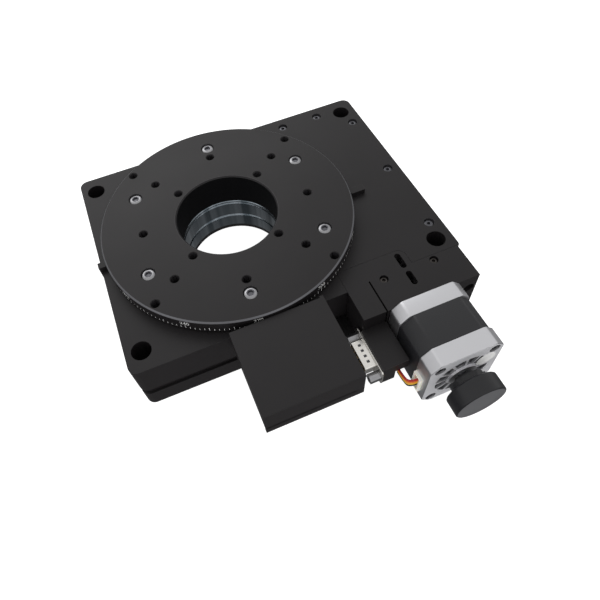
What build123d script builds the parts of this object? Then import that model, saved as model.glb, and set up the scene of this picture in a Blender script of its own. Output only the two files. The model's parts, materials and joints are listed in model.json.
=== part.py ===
from build123d import *
from math import cos, hypot, pi, radians, sin, tan
import os

# A motorised rotation stage: a 150 mm table on a ball bearing, turned by a worm and a worm wheel.
# All sizes are in millimetres.  The origin is on the table's axis at the underside of the base.
# +Z is up, +X runs along the base towards the worm, and the motor lies on the -Y side.

# ---------------------------------------------------------------- driving dimensions
# Rotary table
TABLE_D = 150.0
TABLE_T = 9.0
TABLE_GAP = 0.6              # between the table and the housing
TABLE_EDGE = 0.8             # chamfer on the table's rims
TABLE_REST_DEG = -6.35       # where the table's hole grid stands at rest
BORE_R = 30.0                # clear bore through the whole stage
TAP_R = 2.5                  # tapping radius of an M6 thread
SQUARE_HALF = (50.0, 37.5, 25.0)   # half sides of the three square hole patterns
CROSS_R = 50.0               # four more holes on the table's cross lines
HOLE_EDGE = 1.5              # least wall between a tapped hole and the table's rim or bore
TABLE_SCREW_N = 6

# Housing and base plate
X_LEFT = -79.0
X_RIGHT = 115.0
Y_FRONT = -74.5
Y_BACK = 74.5
CORNER_R = 5.0
BASE_T = 12.0
HOUSING_TOP = 38.4
BAND_H = 5.0                 # set-back band round the foot of the housing
BAND_IN = 1.5
LIP_T = 2.5                  # web of the base plate under the bearing's pedestal

# Mounting holes of the stage
MOUNT_DX = 175.0
MOUNT_DY = 125.0
MOUNT_CX = 17.5
MOUNT_R = 3.3
MOUNT_HEAD_R = 5.5
MOUNT_HEAD_DEPTH = 24.0

# Screws: shank and head radii, head heights and key sizes
M4_R = 2.0
M4_HEAD_R = 3.8
M4_HEAD_H = 2.3
M4_SMALL_HEAD_R = 3.2
M4_HEX = 2.5
M3_R = 1.5
M3_FLUSH_R = 3.0
M3_CAP_R = 2.2
M3_CAP_H = 3.0
M3_HEX = 2.0
M25_R = 1.25
M25_HEAD_R = 2.3
M25_HEAD_H = 1.5
M25_HEX = 1.5
SET_R = 1.5
SET_HEX = 1.5
SET_HEX_DEPTH = 1.6
SET_SINK = 0.3               # a set screw stops this far under the surface
TAP_RUNOUT = 3.0             # blind hole past the end of its screw
HEAD_CLEAR = 0.3             # round a screw head in its seat

# Where the screws go, in plan
TABLE_SCREW_L = 13.0
TOP_SCREWS = ((62.5, 66.3), (88.0, 66.3), (108.0, 50.0), (108.0, 0.0), (108.0, -50.0))
TOP_SCREW_L = 10.0
UNDER_SCREWS = ((-72.0, 0.0), (-60.0, 68.0), (-60.0, -68.0), (60.0, 60.0), (100.0, 30.0), (100.0, -40.0))
UNDER_SCREW_REACH = 6.0      # into the housing
BLOCK_SCREWS = ((64.9, -74.9), (96.2, -74.8))
BLOCK_SCREW_REACH = 6.0      # into the base plate
BLOCK_HEAD_DEPTH = 4.0
PEDESTAL_SCREW_R = 42.0
PEDESTAL_SCREW_N = 6
PEDESTAL_SCREW_L = 9.0

# Worm drive
MODULE = 0.75
WHEEL_TEETH = 180
WORM_PITCH_R = 12.0
WORM_TURNS = 11              # odd, so a thread faces the wheel at the middle
FLANK_DEG = 20.0
THREAD_T = 0.95              # thread thickness on the pitch line
THREAD_BURY = 0.2            # the thread's root sinks this far into the core
WORM_END = 1.6               # plain core past each end of the thread
WHEEL_T = 10.0
WHEEL_RIM = 10.8             # from the tooth roots in to the wheel's bore
CARRIER_STEP = 4.3           # from the tooth roots in to the carrier's side
WHEEL_SCREW_REACH = 6.0      # into the carrier
WORM_Z = 22.0
WHEEL_CLEAR = 1.2            # housing round the wheel's tips
WHEEL_ABOVE = 2.0            # housing over the wheel
CARRIER_CLEAR = 1.0          # housing round the carrier

# Main bearing
BRG_Z0 = 27.0
BRG_H = 10.0
BALL_R = 3.0
BALL_N = 18
BALL_PITCH_R = 43.0
GROOVE_CLEAR = 0.25
RACE_GAP = 2.8               # between the two rings
SHOULDER_STEP = 1.6          # table shoulder and pedestal ledge leave the races' edges free
NECK_R = 36.0
NECK_SHORT = 1.0             # the neck ends below the inner ring
BRG_OUT_R = 50.0
TOWER_OUT_R = 52.0
FLANGE_OUT_R = 55.0
LOCK_CLEAR = 0.6             # lock ring over the pedestal flange
LOCK_LIP = 2.6
LOCK_EDGE = 0.5
CAGE_CLEAR = 0.4
CAGE_SHORT = 1.0
POCKET_CLEAR = 0.15
RETAINER_IN = 1.0            # retainer over the outer ring's edge
RETAINER_SINK = 0.2          # retainer under the housing's top

# Worm shaft and its bearings
SHAFT_R = 4.0
BRG608_R = 11.0
BRG608_W = 7.0
BRG608_IN_R = 5.6
BRG608_OUT_R = 9.2
TUNNEL_CLEAR = 0.6           # round the worm
WORM_COLLAR_R = 6.0
WORM_NUT_R = 6.5
WORM_NUT_L = 6.0
SEAT_Y = 20.0                # inner faces of both worm bearings
TUNNEL_END_Y = 29.0
CARRIER_LIP = 3.0
WORM_SHAFT_Y0 = -71.5
WORM_SHAFT_Y1 = 28.0
FIT = 0.05                   # running and sliding fits, radial

# Coupling between the motor and the worm
COUPLING_R = 9.5
COUPLING_BORE_R = 11.2
WORM_HUB_Y = (-72.5, -63.0)
MOTOR_HUB_Y = (-86.5, -77.0)
TONGUE_W = 5.0
TONGUE_H = 2.0
DISC_HOLE_CLEAR = 0.4

# Motor block
BLOCK_X0 = 43.0
BLOCK_X1 = 113.3
BLOCK_Y0 = -93.8
BLOCK_Y_STEP = -71.5
BLOCK_Y1 = -60.5
BLOCK_STEP_X = 84.0
BLOCK_FOOT_X0 = 56.7         # left side of the base plate's tongue under the block
BLOCK_SLIT_X = 56.7
BLOCK_SLIT_W = 0.9
BLOCK_SLIT_Y = -73.0
SEAM = 0.15                  # joint lines between housing and block
NOTCH_R = 1.0
SLOT_W = 3.5
SLOTS_Y = ((-73.0, -62.5), (-85.0, -75.5))
SLOT_X = 79.0
SIDE_HOLE_R = 3.4
SIDE_HOLE_L = 8.0
SIDE_HOLE_X = 108.6
SIDE_HOLE_Z = 28.0

# Motor
MOTOR_SIZE = 42.3
MOTOR_CHAMFER = 5.6
FLANGE_L = 9.8
STACK_L = 20.2
STACK_IN = 0.2               # the sheets stand back from the end caps
STACK_CHAMFER = 7.2
CAP_L = 10.5
CAP_BOSS_R = 8.0
CAP_BOSS_L = 1.0
MOTOR_HOLES = 31.0
MOTOR_THREAD = 6.0
PILOT_R = 11.0
PILOT_L = 2.0
CAVITY_R = 17.0
CAVITY_L = 4.0
ROTOR_R = 13.0
ROTOR_GAP = 0.5
ROTOR_SHORT = 1.0
ROTOR_GROOVE = 1.0
MOTOR_SHAFT_R = 2.5
MOTOR_SHAFT_Y0 = -149.0
MOTOR_SHAFT_Y1 = -77.6
MOTOR_BRG_R = 6.5
MOTOR_BRG_OUT_R = 5.2
MOTOR_BRG_IN_R = 3.9
MOTOR_BRG_W = 4.0
MOTOR_BRG_HOLE_R = 4.2
BOLT_R = 1.5
BOLT_HEAD_R = 2.8
BOLT_HEAD_H = 2.4
BOLT_SINK = 3.0              # seat of the bolt heads in the rear cap
BOLT_TOP = 0.6               # head top under the cap's rear face

# Lead connector of the motor, and its leads
CONN_OUT = 1.75              # past the motor's side
CONN_DEEP = 4.8
CONN_W = 6.4
CONN_H = 13.5
CONN_FROM_REAR = 3.3
CONN_DROP = 10.0             # foot of the connector under the motor's axis
CONN_WALL = 1.0
CONN_RECESS = 1.6
LEAD_R = 0.55
LEAD_N = 4
LEAD_PITCH = 2.0
LEAD_FOOT = 3.0              # lowest lead over the foot of the connector
LEAD_HOLE_X = 52.4

# Hand knob
KNOB_R = 14.2
KNOB_T = 10.0
KNOB_Y0 = -152.3
KNOB_EDGE = 0.6
KNOB_CLEAR = 0.8             # between the nose and the motor's boss
HUB_R = 9.3
HUB_T = 4.3
NOSE_R = 5.5

# Connector and its bracket
BRACKET_X0 = 41.8
BRACKET_X1 = 57.0
BRACKET_Y0 = -119.0
BRACKET_Z0 = 12.0
BRACKET_Z1 = 27.6
BRACKET_WALL = 2.0
BRACKET_BACK = 2.5
BRACKET_END = 3.0
NOTCH_W = 2.6                # lead notch, past the leads' place
NOTCH_H = 8.0
DSUB_Y = -104.8
DSUB_Z = 19.8
DSUB_FLANGE_W = 30.8
DSUB_FLANGE_H = 12.5
DSUB_FLANGE_T = 0.8
DSUB_FLANGE_R = 2.0
DSUB_SHELL_W = 18.6
DSUB_SHELL_H = 10.0
DSUB_SHELL_L = 6.0
DSUB_SKEW = 10.0
DSUB_CORNER = 1.6
SHELL_T = 0.5
INSERT_L = 1.6
INSERT_BACK_W = 17.0
INSERT_BACK_H = 8.4
INSERT_BACK_L = 3.0
PIN_R = 0.5
PIN_PITCH = 2.77
PIN_ROWS = 2.84
PIN_BACK = 5.0
PIN_FRONT = 5.4
JACK_SPACING = 25.0
JACK_STUD_R = 1.5
JACK_STUD_L = 2.2
JACK_HEX = 5.0
JACK_POST_L = 5.0
JACK_THREAD_R = 1.2
JACK_THREAD_L = 4.0

# Sensor box
BOX_X0 = -25.0
BOX_X1 = 27.0
BOX_Y0 = -124.3
BOX_Z0 = 28.5
BOX_Z1 = 45.5
BOX_WALL = 1.6
BOX_FLOOR_T = 1.6
BOX_CORNER = 0.8
BOX_CLEAR = 0.6              # between the box and the turning table
BOX_BOSS_R = 3.0
BOX_BOSS_IN = 0.6            # a boss sinks this far into the wall
BOX_SCREW_L = 6.0
BOARD_T = 1.6
BOARD_IN = 6.4               # board inside the box's side walls
BOARD_END = 2.4
CHIP_W = 10.0
CHIP_H = 1.8
PLUG_W = 6.0
PLUG_L = 8.0
PLUG_H = 3.4

# Index blocks beside the table
INDEX_H = 3.4
INDEX_W = 4.0
INDEX_Y = -1.0
INDEX_GAP = 0.6
INDEX_TIP_L = 4.4
INDEX_LEG_T = 1.0
INDEX_LEG_H = 6.0
STOP_GAP = 0.8
STOP_L = 9.2
STOP_W = 4.5
STOP_Y = -10.75
STOP_R = 0.4

# ---------------------------------------------------------------- worked-out values
TABLE_R = TABLE_D / 2
TABLE_BOTTOM = HOUSING_TOP + TABLE_GAP
TABLE_TOP = TABLE_BOTTOM + TABLE_T
WHEEL_PITCH_R = MODULE * WHEEL_TEETH / 2
WORM_X = WHEEL_PITCH_R + WORM_PITCH_R
LEAD = MODULE * pi
ADDENDUM = MODULE
DEDENDUM = 1.25 * MODULE
WORM_TIP_R = WORM_PITCH_R + ADDENDUM
WORM_ROOT_R = WORM_PITCH_R - DEDENDUM
WHEEL_TIP_R = WHEEL_PITCH_R + ADDENDUM
WHEEL_ROOT_R = WHEEL_PITCH_R - DEDENDUM
WHEEL_IN_R = WHEEL_ROOT_R - WHEEL_RIM
CARRIER_OUT_R = WHEEL_ROOT_R - CARRIER_STEP
TABLE_SCREW_R = (WHEEL_IN_R + CARRIER_OUT_R) / 2
TABLE_SCREW_DEG = 90 + TABLE_REST_DEG
WHEEL_SCREW_DEG = 60 + TABLE_REST_DEG
WHEEL_Z0 = WORM_Z - WHEEL_T / 2
WHEEL_Z1 = WORM_Z + WHEEL_T / 2
CAVITY_TOP = WHEEL_Z1 + WHEEL_ABOVE
BRG_Z1 = BRG_Z0 + BRG_H
BALL_Z = BRG_Z0 + BRG_H / 2
INNER_RACE_R = BALL_PITCH_R - RACE_GAP / 2
OUTER_RACE_R = BALL_PITCH_R + RACE_GAP / 2
NECK_END_Z = BRG_Z0 - NECK_SHORT
TUNNEL_R = WORM_TIP_R + TUNNEL_CLEAR
FLANGE_Y0 = BLOCK_Y0 - FLANGE_L
STACK_Y0 = FLANGE_Y0 - STACK_L
CAP_Y0 = STACK_Y0 - CAP_L
BOSS_Y0 = CAP_Y0 - CAP_BOSS_L
MOTOR_LEFT = WORM_X - MOTOR_SIZE / 2
KNOB_Y1 = KNOB_Y0 + KNOB_T
HUB_Y1 = KNOB_Y1 + HUB_T
NOSE_Y1 = BOSS_Y0 - KNOB_CLEAR
CONN_X0 = MOTOR_LEFT - CONN_OUT
CONN_X1 = CONN_X0 + CONN_DEEP
CONN_Y0 = CAP_Y0 + CONN_FROM_REAR
CONN_Y1 = CONN_Y0 + CONN_W
CONN_Z0 = WORM_Z - CONN_DROP
CONN_Z1 = CONN_Z0 + CONN_H
BOX_BACK = min(Y_FRONT, -TABLE_R - BOX_CLEAR)
BOX_INNER_Z = BOX_Z0 + BOX_FLOOR_T
INDEX_TOP = HOUSING_TOP + INDEX_H

DOWN = (Align.CENTER, Align.CENTER, Align.MAX)
UP = (Align.CENTER, Align.CENTER, Align.MIN)


# ---------------------------------------------------------------- helpers
def disc(r, z0, z1, x=0.0, y=0.0):
    """Upright cylinder between two heights."""
    return Pos(x, y, z0) * Cylinder(r, z1 - z0, align=UP)


def ring(r_out, r_in, z0, z1, x=0.0, y=0.0):
    return disc(r_out, z0, z1, x, y) - disc(r_in, z0, z1, x, y)


def rod(r, y0, y1, x=WORM_X, z=WORM_Z):
    """Cylinder along Y, by default on the worm and motor axis."""
    return Pos(x, y0, z) * Rot(-90, 0, 0) * Cylinder(r, y1 - y0, align=UP)


def tube(r_out, r_in, y0, y1, x=WORM_X, z=WORM_Z):
    return rod(r_out, y0, y1, x, z) - rod(r_in, y0, y1, x, z)


def block(x0, x1, y0, y1, z0, z1):
    middle = Pos((x0 + x1) / 2, (y0 + y1) / 2, (z0 + z1) / 2)
    return middle * Box(x1 - x0, y1 - y0, z1 - z0)


def plate(x0, x1, y0, y1, z0, z1, r):
    """Block with rounded upright edges."""
    outline = RectangleRounded(x1 - x0, y1 - y0, r)
    return Pos((x0 + x1) / 2, (y0 + y1) / 2, z0) * extrude(outline, z1 - z0)


def turned(points):
    """Solid of revolution about the table's axis from (radius, height) points."""
    outline = Polyline(*[(r, 0, z) for r, z in points], close=True)
    return revolve(make_face(outline), Axis.Z)


def on_circle(r, n, start=0.0):
    places = []
    for k in range(n):
        a = radians(start + 360 * k / n)
        places.append((r * cos(a), r * sin(a)))
    return places


def set_screw(from_r, surface_r):
    """Headless screw pointing at the axis, from a bore to just under the surface."""
    top = surface_r - SET_SINK
    return Pos(0, 0, top) * (Cylinder(SET_R, top - from_r, align=DOWN) - hex_cut(SET_HEX, SET_HEX_DEPTH))


def hex_cut(across, depth):
    """Hexagonal socket, open at z = 0 and going down."""
    return extrude(RegularPolygon(across / 2, 6, major_radius=False), -depth)


def cap_screw(shank_r, shank_l, head_r, head_h, across):
    """Cylinder-head screw standing up: head top at z = 0, shank below."""
    head = Cylinder(head_r, head_h, align=DOWN)
    shank = Pos(0, 0, -head_h) * Cylinder(shank_r, shank_l, align=DOWN)
    return head + shank - hex_cut(across, head_h * 0.6)


def flush_screw(shank_r, shank_l, head_r, across):
    """Countersunk screw: flat top at z = 0, cone, then shank."""
    cone_h = head_r - shank_r
    cone = Pos(0, 0, -cone_h / 2) * Cone(shank_r, head_r, cone_h)
    shank = Cylinder(shank_r, shank_l, align=DOWN)
    return cone + shank - hex_cut(across, cone_h)


def flush_seat(shank_r, head_r, depth, z, x, y):
    """Cutter for a countersunk screw whose top is flush at height z."""
    cone_h = head_r - shank_r
    cone = Pos(x, y, z - cone_h / 2) * Cone(shank_r, head_r, cone_h)
    return cone + disc(shank_r, z - depth, z, x, y)


# ---------------------------------------------------------------- rotary table body
def square_corners(half):
    return [(half, half), (-half, half), (-half, -half), (half, -half)]


def table_holes():
    """Plan places of the tapped holes that fall on the table, in the table's own directions."""
    places = []
    for half in SQUARE_HALF:
        places += square_corners(half)
    places += on_circle(CROSS_R, 4)
    nearest = BORE_R + TAP_R + HOLE_EDGE
    farthest = TABLE_R - TAP_R - HOLE_EDGE
    return [(x, y) for x, y in places if nearest < hypot(x, y) < farthest]


def table_screw_places():
    return on_circle(TABLE_SCREW_R, TABLE_SCREW_N, TABLE_SCREW_DEG)


def wheel_screw_places():
    return on_circle(TABLE_SCREW_R, TABLE_SCREW_N, WHEEL_SCREW_DEG)


def rotary_table():
    shoulder_r = INNER_RACE_R - SHOULDER_STEP
    profile = [
        (BORE_R + TABLE_EDGE, TABLE_TOP),
        (TABLE_R - TABLE_EDGE, TABLE_TOP),
        (TABLE_R, TABLE_TOP - TABLE_EDGE),
        (TABLE_R, TABLE_BOTTOM + TABLE_EDGE),
        (TABLE_R - TABLE_EDGE, TABLE_BOTTOM),
        (shoulder_r, TABLE_BOTTOM),
        (shoulder_r, BRG_Z1),
        (NECK_R, BRG_Z1),
        (NECK_R, NECK_END_Z),
        (BORE_R, NECK_END_Z),
        (BORE_R, TABLE_TOP - TABLE_EDGE),
    ]
    solid = turned(profile)
    for x, y in table_holes():
        solid -= disc(TAP_R, TABLE_BOTTOM, TABLE_TOP, x, y)
    for x, y in on_circle(TABLE_SCREW_R, TABLE_SCREW_N, 90):
        solid -= disc(M4_HEAD_R + HEAD_CLEAR, TABLE_TOP - M4_HEAD_H, TABLE_TOP, x, y)
        solid -= disc(M4_R, TABLE_BOTTOM, TABLE_TOP, x, y)
    return Rot(0, 0, TABLE_REST_DEG) * solid


def table_screws():
    one = cap_screw(M4_R, TABLE_SCREW_L, M4_HEAD_R, M4_HEAD_H, M4_HEX)
    return [Pos(x, y, TABLE_TOP) * one for x, y in table_screw_places()]


def wheel_carrier():
    """Ring between the table and the wheel, tapped from both sides."""
    solid = ring(CARRIER_OUT_R, WHEEL_IN_R, WHEEL_Z1, TABLE_BOTTOM)
    screw_end = TABLE_TOP - M4_HEAD_H - TABLE_SCREW_L
    for x, y in table_screw_places():
        solid -= disc(M4_R, screw_end - TAP_RUNOUT, TABLE_BOTTOM, x, y)
    for x, y in wheel_screw_places():
        solid -= disc(M4_R, WHEEL_Z1, WHEEL_Z1 + WHEEL_SCREW_REACH + TAP_RUNOUT, x, y)
    return solid


def wheel_outline():
    """Toothed outline with a gap centred on +X."""
    half_pitch = 180 / WHEEL_TEETH
    tip_half = LEAD / 4 - ADDENDUM * tan(radians(FLANK_DEG))
    root_half = LEAD / 4 + DEDENDUM * tan(radians(FLANK_DEG))
    points = []
    for k in range(WHEEL_TEETH):
        middle = radians(half_pitch * (2 * k + 1))
        for r, half in ((WHEEL_ROOT_R, -root_half), (WHEEL_TIP_R, -tip_half),
                        (WHEEL_TIP_R, tip_half), (WHEEL_ROOT_R, root_half)):
            a = middle + half / r
            points.append((r * cos(a), r * sin(a)))
    return make_face(Polyline(*points, close=True))


def worm_wheel():
    solid = Pos(0, 0, WHEEL_Z0) * extrude(wheel_outline() - Circle(WHEEL_IN_R), WHEEL_T)
    for x, y in wheel_screw_places():
        solid -= disc(M4_R, WHEEL_Z0, WHEEL_Z1, x, y)
        solid -= disc(M4_SMALL_HEAD_R, WHEEL_Z0, WHEEL_Z0 + M4_HEAD_H, x, y)
    return solid


def wheel_screws():
    screw_l = WHEEL_T - M4_HEAD_H + WHEEL_SCREW_REACH
    one = Rot(180, 0, 0) * cap_screw(M4_R, screw_l, M4_SMALL_HEAD_R, M4_HEAD_H, M4_HEX)
    return [Pos(x, y, WHEEL_Z0) * one for x, y in wheel_screw_places()]


def ball_groove():
    """Ring-shaped cutter that leaves the running groove for the balls."""
    return Pos(0, 0, BALL_Z) * Torus(BALL_PITCH_R, BALL_R + GROOVE_CLEAR)


def bearing_inner_ring():
    return ring(INNER_RACE_R, NECK_R, BRG_Z0, BRG_Z1) - ball_groove()


def bearing_lock_ring():
    """Ring under the table's neck that holds the inner ring up."""
    lip_r = NECK_R + LOCK_LIP
    z0 = BASE_T + LOCK_CLEAR
    profile = [
        (BORE_R, z0 + LOCK_EDGE),
        (BORE_R + LOCK_EDGE, z0),
        (lip_r, z0),
        (lip_r, BRG_Z0),
        (NECK_R, BRG_Z0),
        (NECK_R, NECK_END_Z),
        (BORE_R, NECK_END_Z),
    ]
    return turned(profile)


# ---------------------------------------------------------------- ball cage body
def bearing_cage():
    """Ring with a round pocket for each ball."""
    out_r = OUTER_RACE_R - CAGE_CLEAR
    in_r = INNER_RACE_R + CAGE_CLEAR
    solid = ring(out_r, in_r, BRG_Z0 + CAGE_SHORT, BRG_Z1 - CAGE_SHORT)
    for k in range(BALL_N):
        pocket = Pos(BALL_PITCH_R, 0, BALL_Z) * Rot(0, 90, 0) * Cylinder(BALL_R + POCKET_CLEAR, 2 * RACE_GAP)
        solid -= Rot(0, 0, 360 * k / BALL_N) * pocket
    return solid


def bearing_balls():
    return [Pos(x, y, BALL_Z) * Sphere(BALL_R) for x, y in on_circle(BALL_PITCH_R, BALL_N)]


# ---------------------------------------------------------------- base body
def mount_places():
    places = []
    for sx in (-1, 1):
        for sy in (-1, 1):
            places.append((MOUNT_CX + sx * MOUNT_DX / 2, sy * MOUNT_DY / 2))
    return places


def base_plate():
    """Plate with a tongue under the motor block, and a pocket for the bearing's pedestal."""
    solid = plate(X_LEFT, X_RIGHT, Y_FRONT, Y_BACK, 0, BASE_T, CORNER_R)
    tongue = plate(BLOCK_FOOT_X0, BLOCK_X1, BLOCK_Y0, Y_FRONT + 2 * CORNER_R, 0, BASE_T, CORNER_R / 2)
    solid += tongue
    solid -= disc(BORE_R, 0, BASE_T)
    solid -= disc(FLANGE_OUT_R + FIT, LIP_T, BASE_T)
    for x, y in mount_places():
        solid -= disc(MOUNT_R, 0, BASE_T, x, y)
    solid -= rod(TUNNEL_R, BLOCK_Y1, SEAT_Y)
    solid -= rod(BRG608_R, SEAT_Y, SEAT_Y + BRG608_W)
    solid -= rod(COUPLING_BORE_R, BLOCK_Y0, BLOCK_Y1)
    for x, z in motor_corners(MOTOR_HOLES):
        if z < BASE_T:
            solid -= rod(BOLT_R, BLOCK_Y0, BLOCK_Y0 + MOTOR_THREAD, x, z)
    for x, y in UNDER_SCREWS:
        solid -= Rot(180, 0, 0) * flush_seat(M3_R, M3_FLUSH_R, BASE_T, 0, x, -y)
    for x, y in BLOCK_SCREWS:
        solid -= disc(M3_R, BASE_T - BLOCK_SCREW_REACH - TAP_RUNOUT, BASE_T, x, y)
    for x, y in on_circle(PEDESTAL_SCREW_R, PEDESTAL_SCREW_N):
        solid -= Rot(180, 0, 0) * flush_seat(M3_R, M3_FLUSH_R, LIP_T, 0, x, -y)
    return solid


def base_plate_screws():
    one = Rot(180, 0, 0) * flush_screw(M3_R, BASE_T + UNDER_SCREW_REACH, M3_FLUSH_R, M3_HEX)
    return [Pos(x, y, 0) * one for x, y in UNDER_SCREWS]


def pedestal_screws():
    one = Rot(180, 0, 0) * flush_screw(M3_R, PEDESTAL_SCREW_L, M3_FLUSH_R, M3_HEX)
    return [Pos(x, y, 0) * one for x, y in on_circle(PEDESTAL_SCREW_R, PEDESTAL_SCREW_N)]


def housing_blank():
    """Outer form of the housing: full width above, set back in a band at the foot."""
    foot = plate(X_LEFT + BAND_IN, X_RIGHT - BAND_IN, Y_FRONT + BAND_IN, Y_BACK - BAND_IN,
                 BASE_T, BASE_T + BAND_H, CORNER_R - BAND_IN)
    upper = plate(X_LEFT, X_RIGHT, Y_FRONT, Y_BACK, BASE_T + BAND_H, HOUSING_TOP, CORNER_R)
    return foot + upper


def block_plan(grow):
    """Plan of the motor block where it sits in the housing; grow makes the housing's notch."""
    front = BLOCK_Y0 - 2 * CORNER_R
    wide = plate(BLOCK_X0 - grow, X_RIGHT + CORNER_R, front, BLOCK_Y_STEP + grow,
                 BASE_T, HOUSING_TOP, NOTCH_R)
    deep = plate(BLOCK_X0 - grow, BLOCK_STEP_X + grow, front, BLOCK_Y1 + grow, BASE_T, HOUSING_TOP, CORNER_R)
    square = block(BLOCK_X0 - grow, BLOCK_X0 + 2 * CORNER_R, front, BLOCK_Y1 + grow, BASE_T, HOUSING_TOP)
    return wide + deep + square


def stage_housing():
    solid = housing_blank() - block_plan(SEAM)
    solid -= disc(WHEEL_TIP_R + WHEEL_CLEAR, BASE_T, CAVITY_TOP)
    solid -= disc(CARRIER_OUT_R + CARRIER_CLEAR, CAVITY_TOP, HOUSING_TOP)
    solid -= rod(TUNNEL_R, BLOCK_Y1, SEAT_Y)
    solid -= rod(COUPLING_BORE_R, BLOCK_Y_STEP, BLOCK_Y1)
    solid -= rod(BRG608_R, SEAT_Y, SEAT_Y + BRG608_W)
    solid -= rod(BRG608_OUT_R, SEAT_Y + BRG608_W, TUNNEL_END_Y)
    for x, y in mount_places():
        solid -= disc(MOUNT_R, BASE_T, HOUSING_TOP, x, y)
        solid -= disc(MOUNT_HEAD_R, HOUSING_TOP - MOUNT_HEAD_DEPTH, HOUSING_TOP, x, y)
    for x, y in TOP_SCREWS:
        solid -= flush_seat(M3_R, M3_FLUSH_R, TOP_SCREW_L, HOUSING_TOP, x, y)
    for x, y in UNDER_SCREWS:
        solid -= disc(M3_R, BASE_T, BASE_T + UNDER_SCREW_REACH, x, y)
    return solid


def housing_screws():
    one = flush_screw(M3_R, TOP_SCREW_L, M3_FLUSH_R, M3_HEX)
    return [Pos(x, y, HOUSING_TOP) * one for x, y in TOP_SCREWS]


def bearing_pedestal():
    """Fixed ring in the base plate that carries the bearing's outer ring."""
    ledge_r = OUTER_RACE_R + SHOULDER_STEP
    profile = [
        (BORE_R, LIP_T),
        (FLANGE_OUT_R, LIP_T),
        (FLANGE_OUT_R, BASE_T),
        (TOWER_OUT_R, BASE_T),
        (TOWER_OUT_R, BRG_Z1),
        (BRG_OUT_R, BRG_Z1),
        (BRG_OUT_R, BRG_Z0),
        (ledge_r, BRG_Z0),
        (ledge_r, BASE_T),
        (BORE_R, BASE_T),
    ]
    solid = turned(profile)
    for x, y in on_circle(PEDESTAL_SCREW_R, PEDESTAL_SCREW_N):
        solid -= disc(M3_R, LIP_T, PEDESTAL_SCREW_L, x, y)
    return solid


def bearing_outer_ring():
    return ring(BRG_OUT_R, OUTER_RACE_R, BRG_Z0, BRG_Z1) - ball_groove()


def bearing_retainer():
    """Thin ring that holds the outer ring down in its seat."""
    return ring(TOWER_OUT_R, OUTER_RACE_R + RETAINER_IN, BRG_Z1, HOUSING_TOP - RETAINER_SINK)


def front_bearing_carrier():
    """Sleeve in the tunnel that holds the worm's bearing next to the motor."""
    y1 = -SEAT_Y
    y0 = y1 - BRG608_W - CARRIER_LIP
    solid = tube(TUNNEL_R - FIT, BRG608_R, y0 + CARRIER_LIP, y1)
    return solid + tube(TUNNEL_R - FIT, BRG608_OUT_R, y0, y0 + CARRIER_LIP)


def worm_bearing_spans():
    return ((SEAT_Y, SEAT_Y + BRG608_W), (-SEAT_Y - BRG608_W, -SEAT_Y))


def worm_bearing_outer_rings():
    return [tube(BRG608_R, BRG608_OUT_R, y0, y1) for y0, y1 in worm_bearing_spans()]


def motor_block():
    """Carries the motor, and covers the coupling; two slots reach the coupling's clamp screws."""
    body = block_plan(0) & block(BLOCK_X0, BLOCK_X1, BLOCK_Y0, BLOCK_Y1, BASE_T, HOUSING_TOP)
    solid = body - rod(COUPLING_BORE_R, BLOCK_Y0, BLOCK_Y1)
    for y0, y1 in SLOTS_Y:
        outline = SlotOverall(y1 - y0, SLOT_W, rotation=90)
        solid -= Pos(SLOT_X, (y0 + y1) / 2, WORM_Z) * extrude(outline, HOUSING_TOP - WORM_Z)
    solid -= block(BLOCK_SLIT_X - BLOCK_SLIT_W / 2, BLOCK_SLIT_X + BLOCK_SLIT_W / 2,
                   BLOCK_Y0, BLOCK_SLIT_Y, BASE_T, HOUSING_TOP)
    for x, y in BLOCK_SCREWS:
        solid -= disc(M3_CAP_R + HEAD_CLEAR, HOUSING_TOP - BLOCK_HEAD_DEPTH, HOUSING_TOP, x, y)
        solid -= disc(M3_R, BASE_T, HOUSING_TOP, x, y)
    solid -= rod(SIDE_HOLE_R, BLOCK_Y0, BLOCK_Y0 + SIDE_HOLE_L, SIDE_HOLE_X, SIDE_HOLE_Z)
    for y in jack_places():
        solid -= jack_stud_hole(y)
    return solid


def motor_block_screws():
    seat_z = HOUSING_TOP - BLOCK_HEAD_DEPTH
    one = cap_screw(M3_R, seat_z - BASE_T + BLOCK_SCREW_REACH, M3_CAP_R, M3_CAP_H, M3_HEX)
    return [Pos(x, y, seat_z + M3_CAP_H) * one for x, y in BLOCK_SCREWS]


# ---------------------------------------------------------------- motor
def motor_corners(spacing):
    half = spacing / 2
    return [(WORM_X + sx * half, WORM_Z + sz * half) for sx in (-1, 1) for sz in (-1, 1)]


def motor_section(size, chamfer_len):
    """Square with cut corners."""
    h = size / 2
    k = h - chamfer_len
    points = [(k, h), (h, k), (h, -k), (k, -h), (-k, -h), (-h, -k), (-h, k), (-k, h)]
    return make_face(Polyline(*points, close=True))


def motor_slice(y0, y1, size=MOTOR_SIZE, chamfer_len=MOTOR_CHAMFER):
    section = motor_section(size, chamfer_len)
    return Pos(WORM_X, y0, WORM_Z) * Rot(-90, 0, 0) * extrude(section, y1 - y0)


def motor_front_flange():
    solid = motor_slice(FLANGE_Y0, BLOCK_Y0)
    solid += rod(PILOT_R, BLOCK_Y0, BLOCK_Y0 + PILOT_L)
    solid -= rod(CAVITY_R, FLANGE_Y0, FLANGE_Y0 + CAVITY_L)
    solid -= rod(MOTOR_BRG_R, FLANGE_Y0, FLANGE_Y0 + CAVITY_L + MOTOR_BRG_W)
    solid -= rod(MOTOR_BRG_HOLE_R, FLANGE_Y0, BLOCK_Y0 + PILOT_L)
    for x, z in motor_corners(MOTOR_HOLES):
        solid -= rod(BOLT_R, FLANGE_Y0, BLOCK_Y0, x, z)
    return solid


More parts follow.
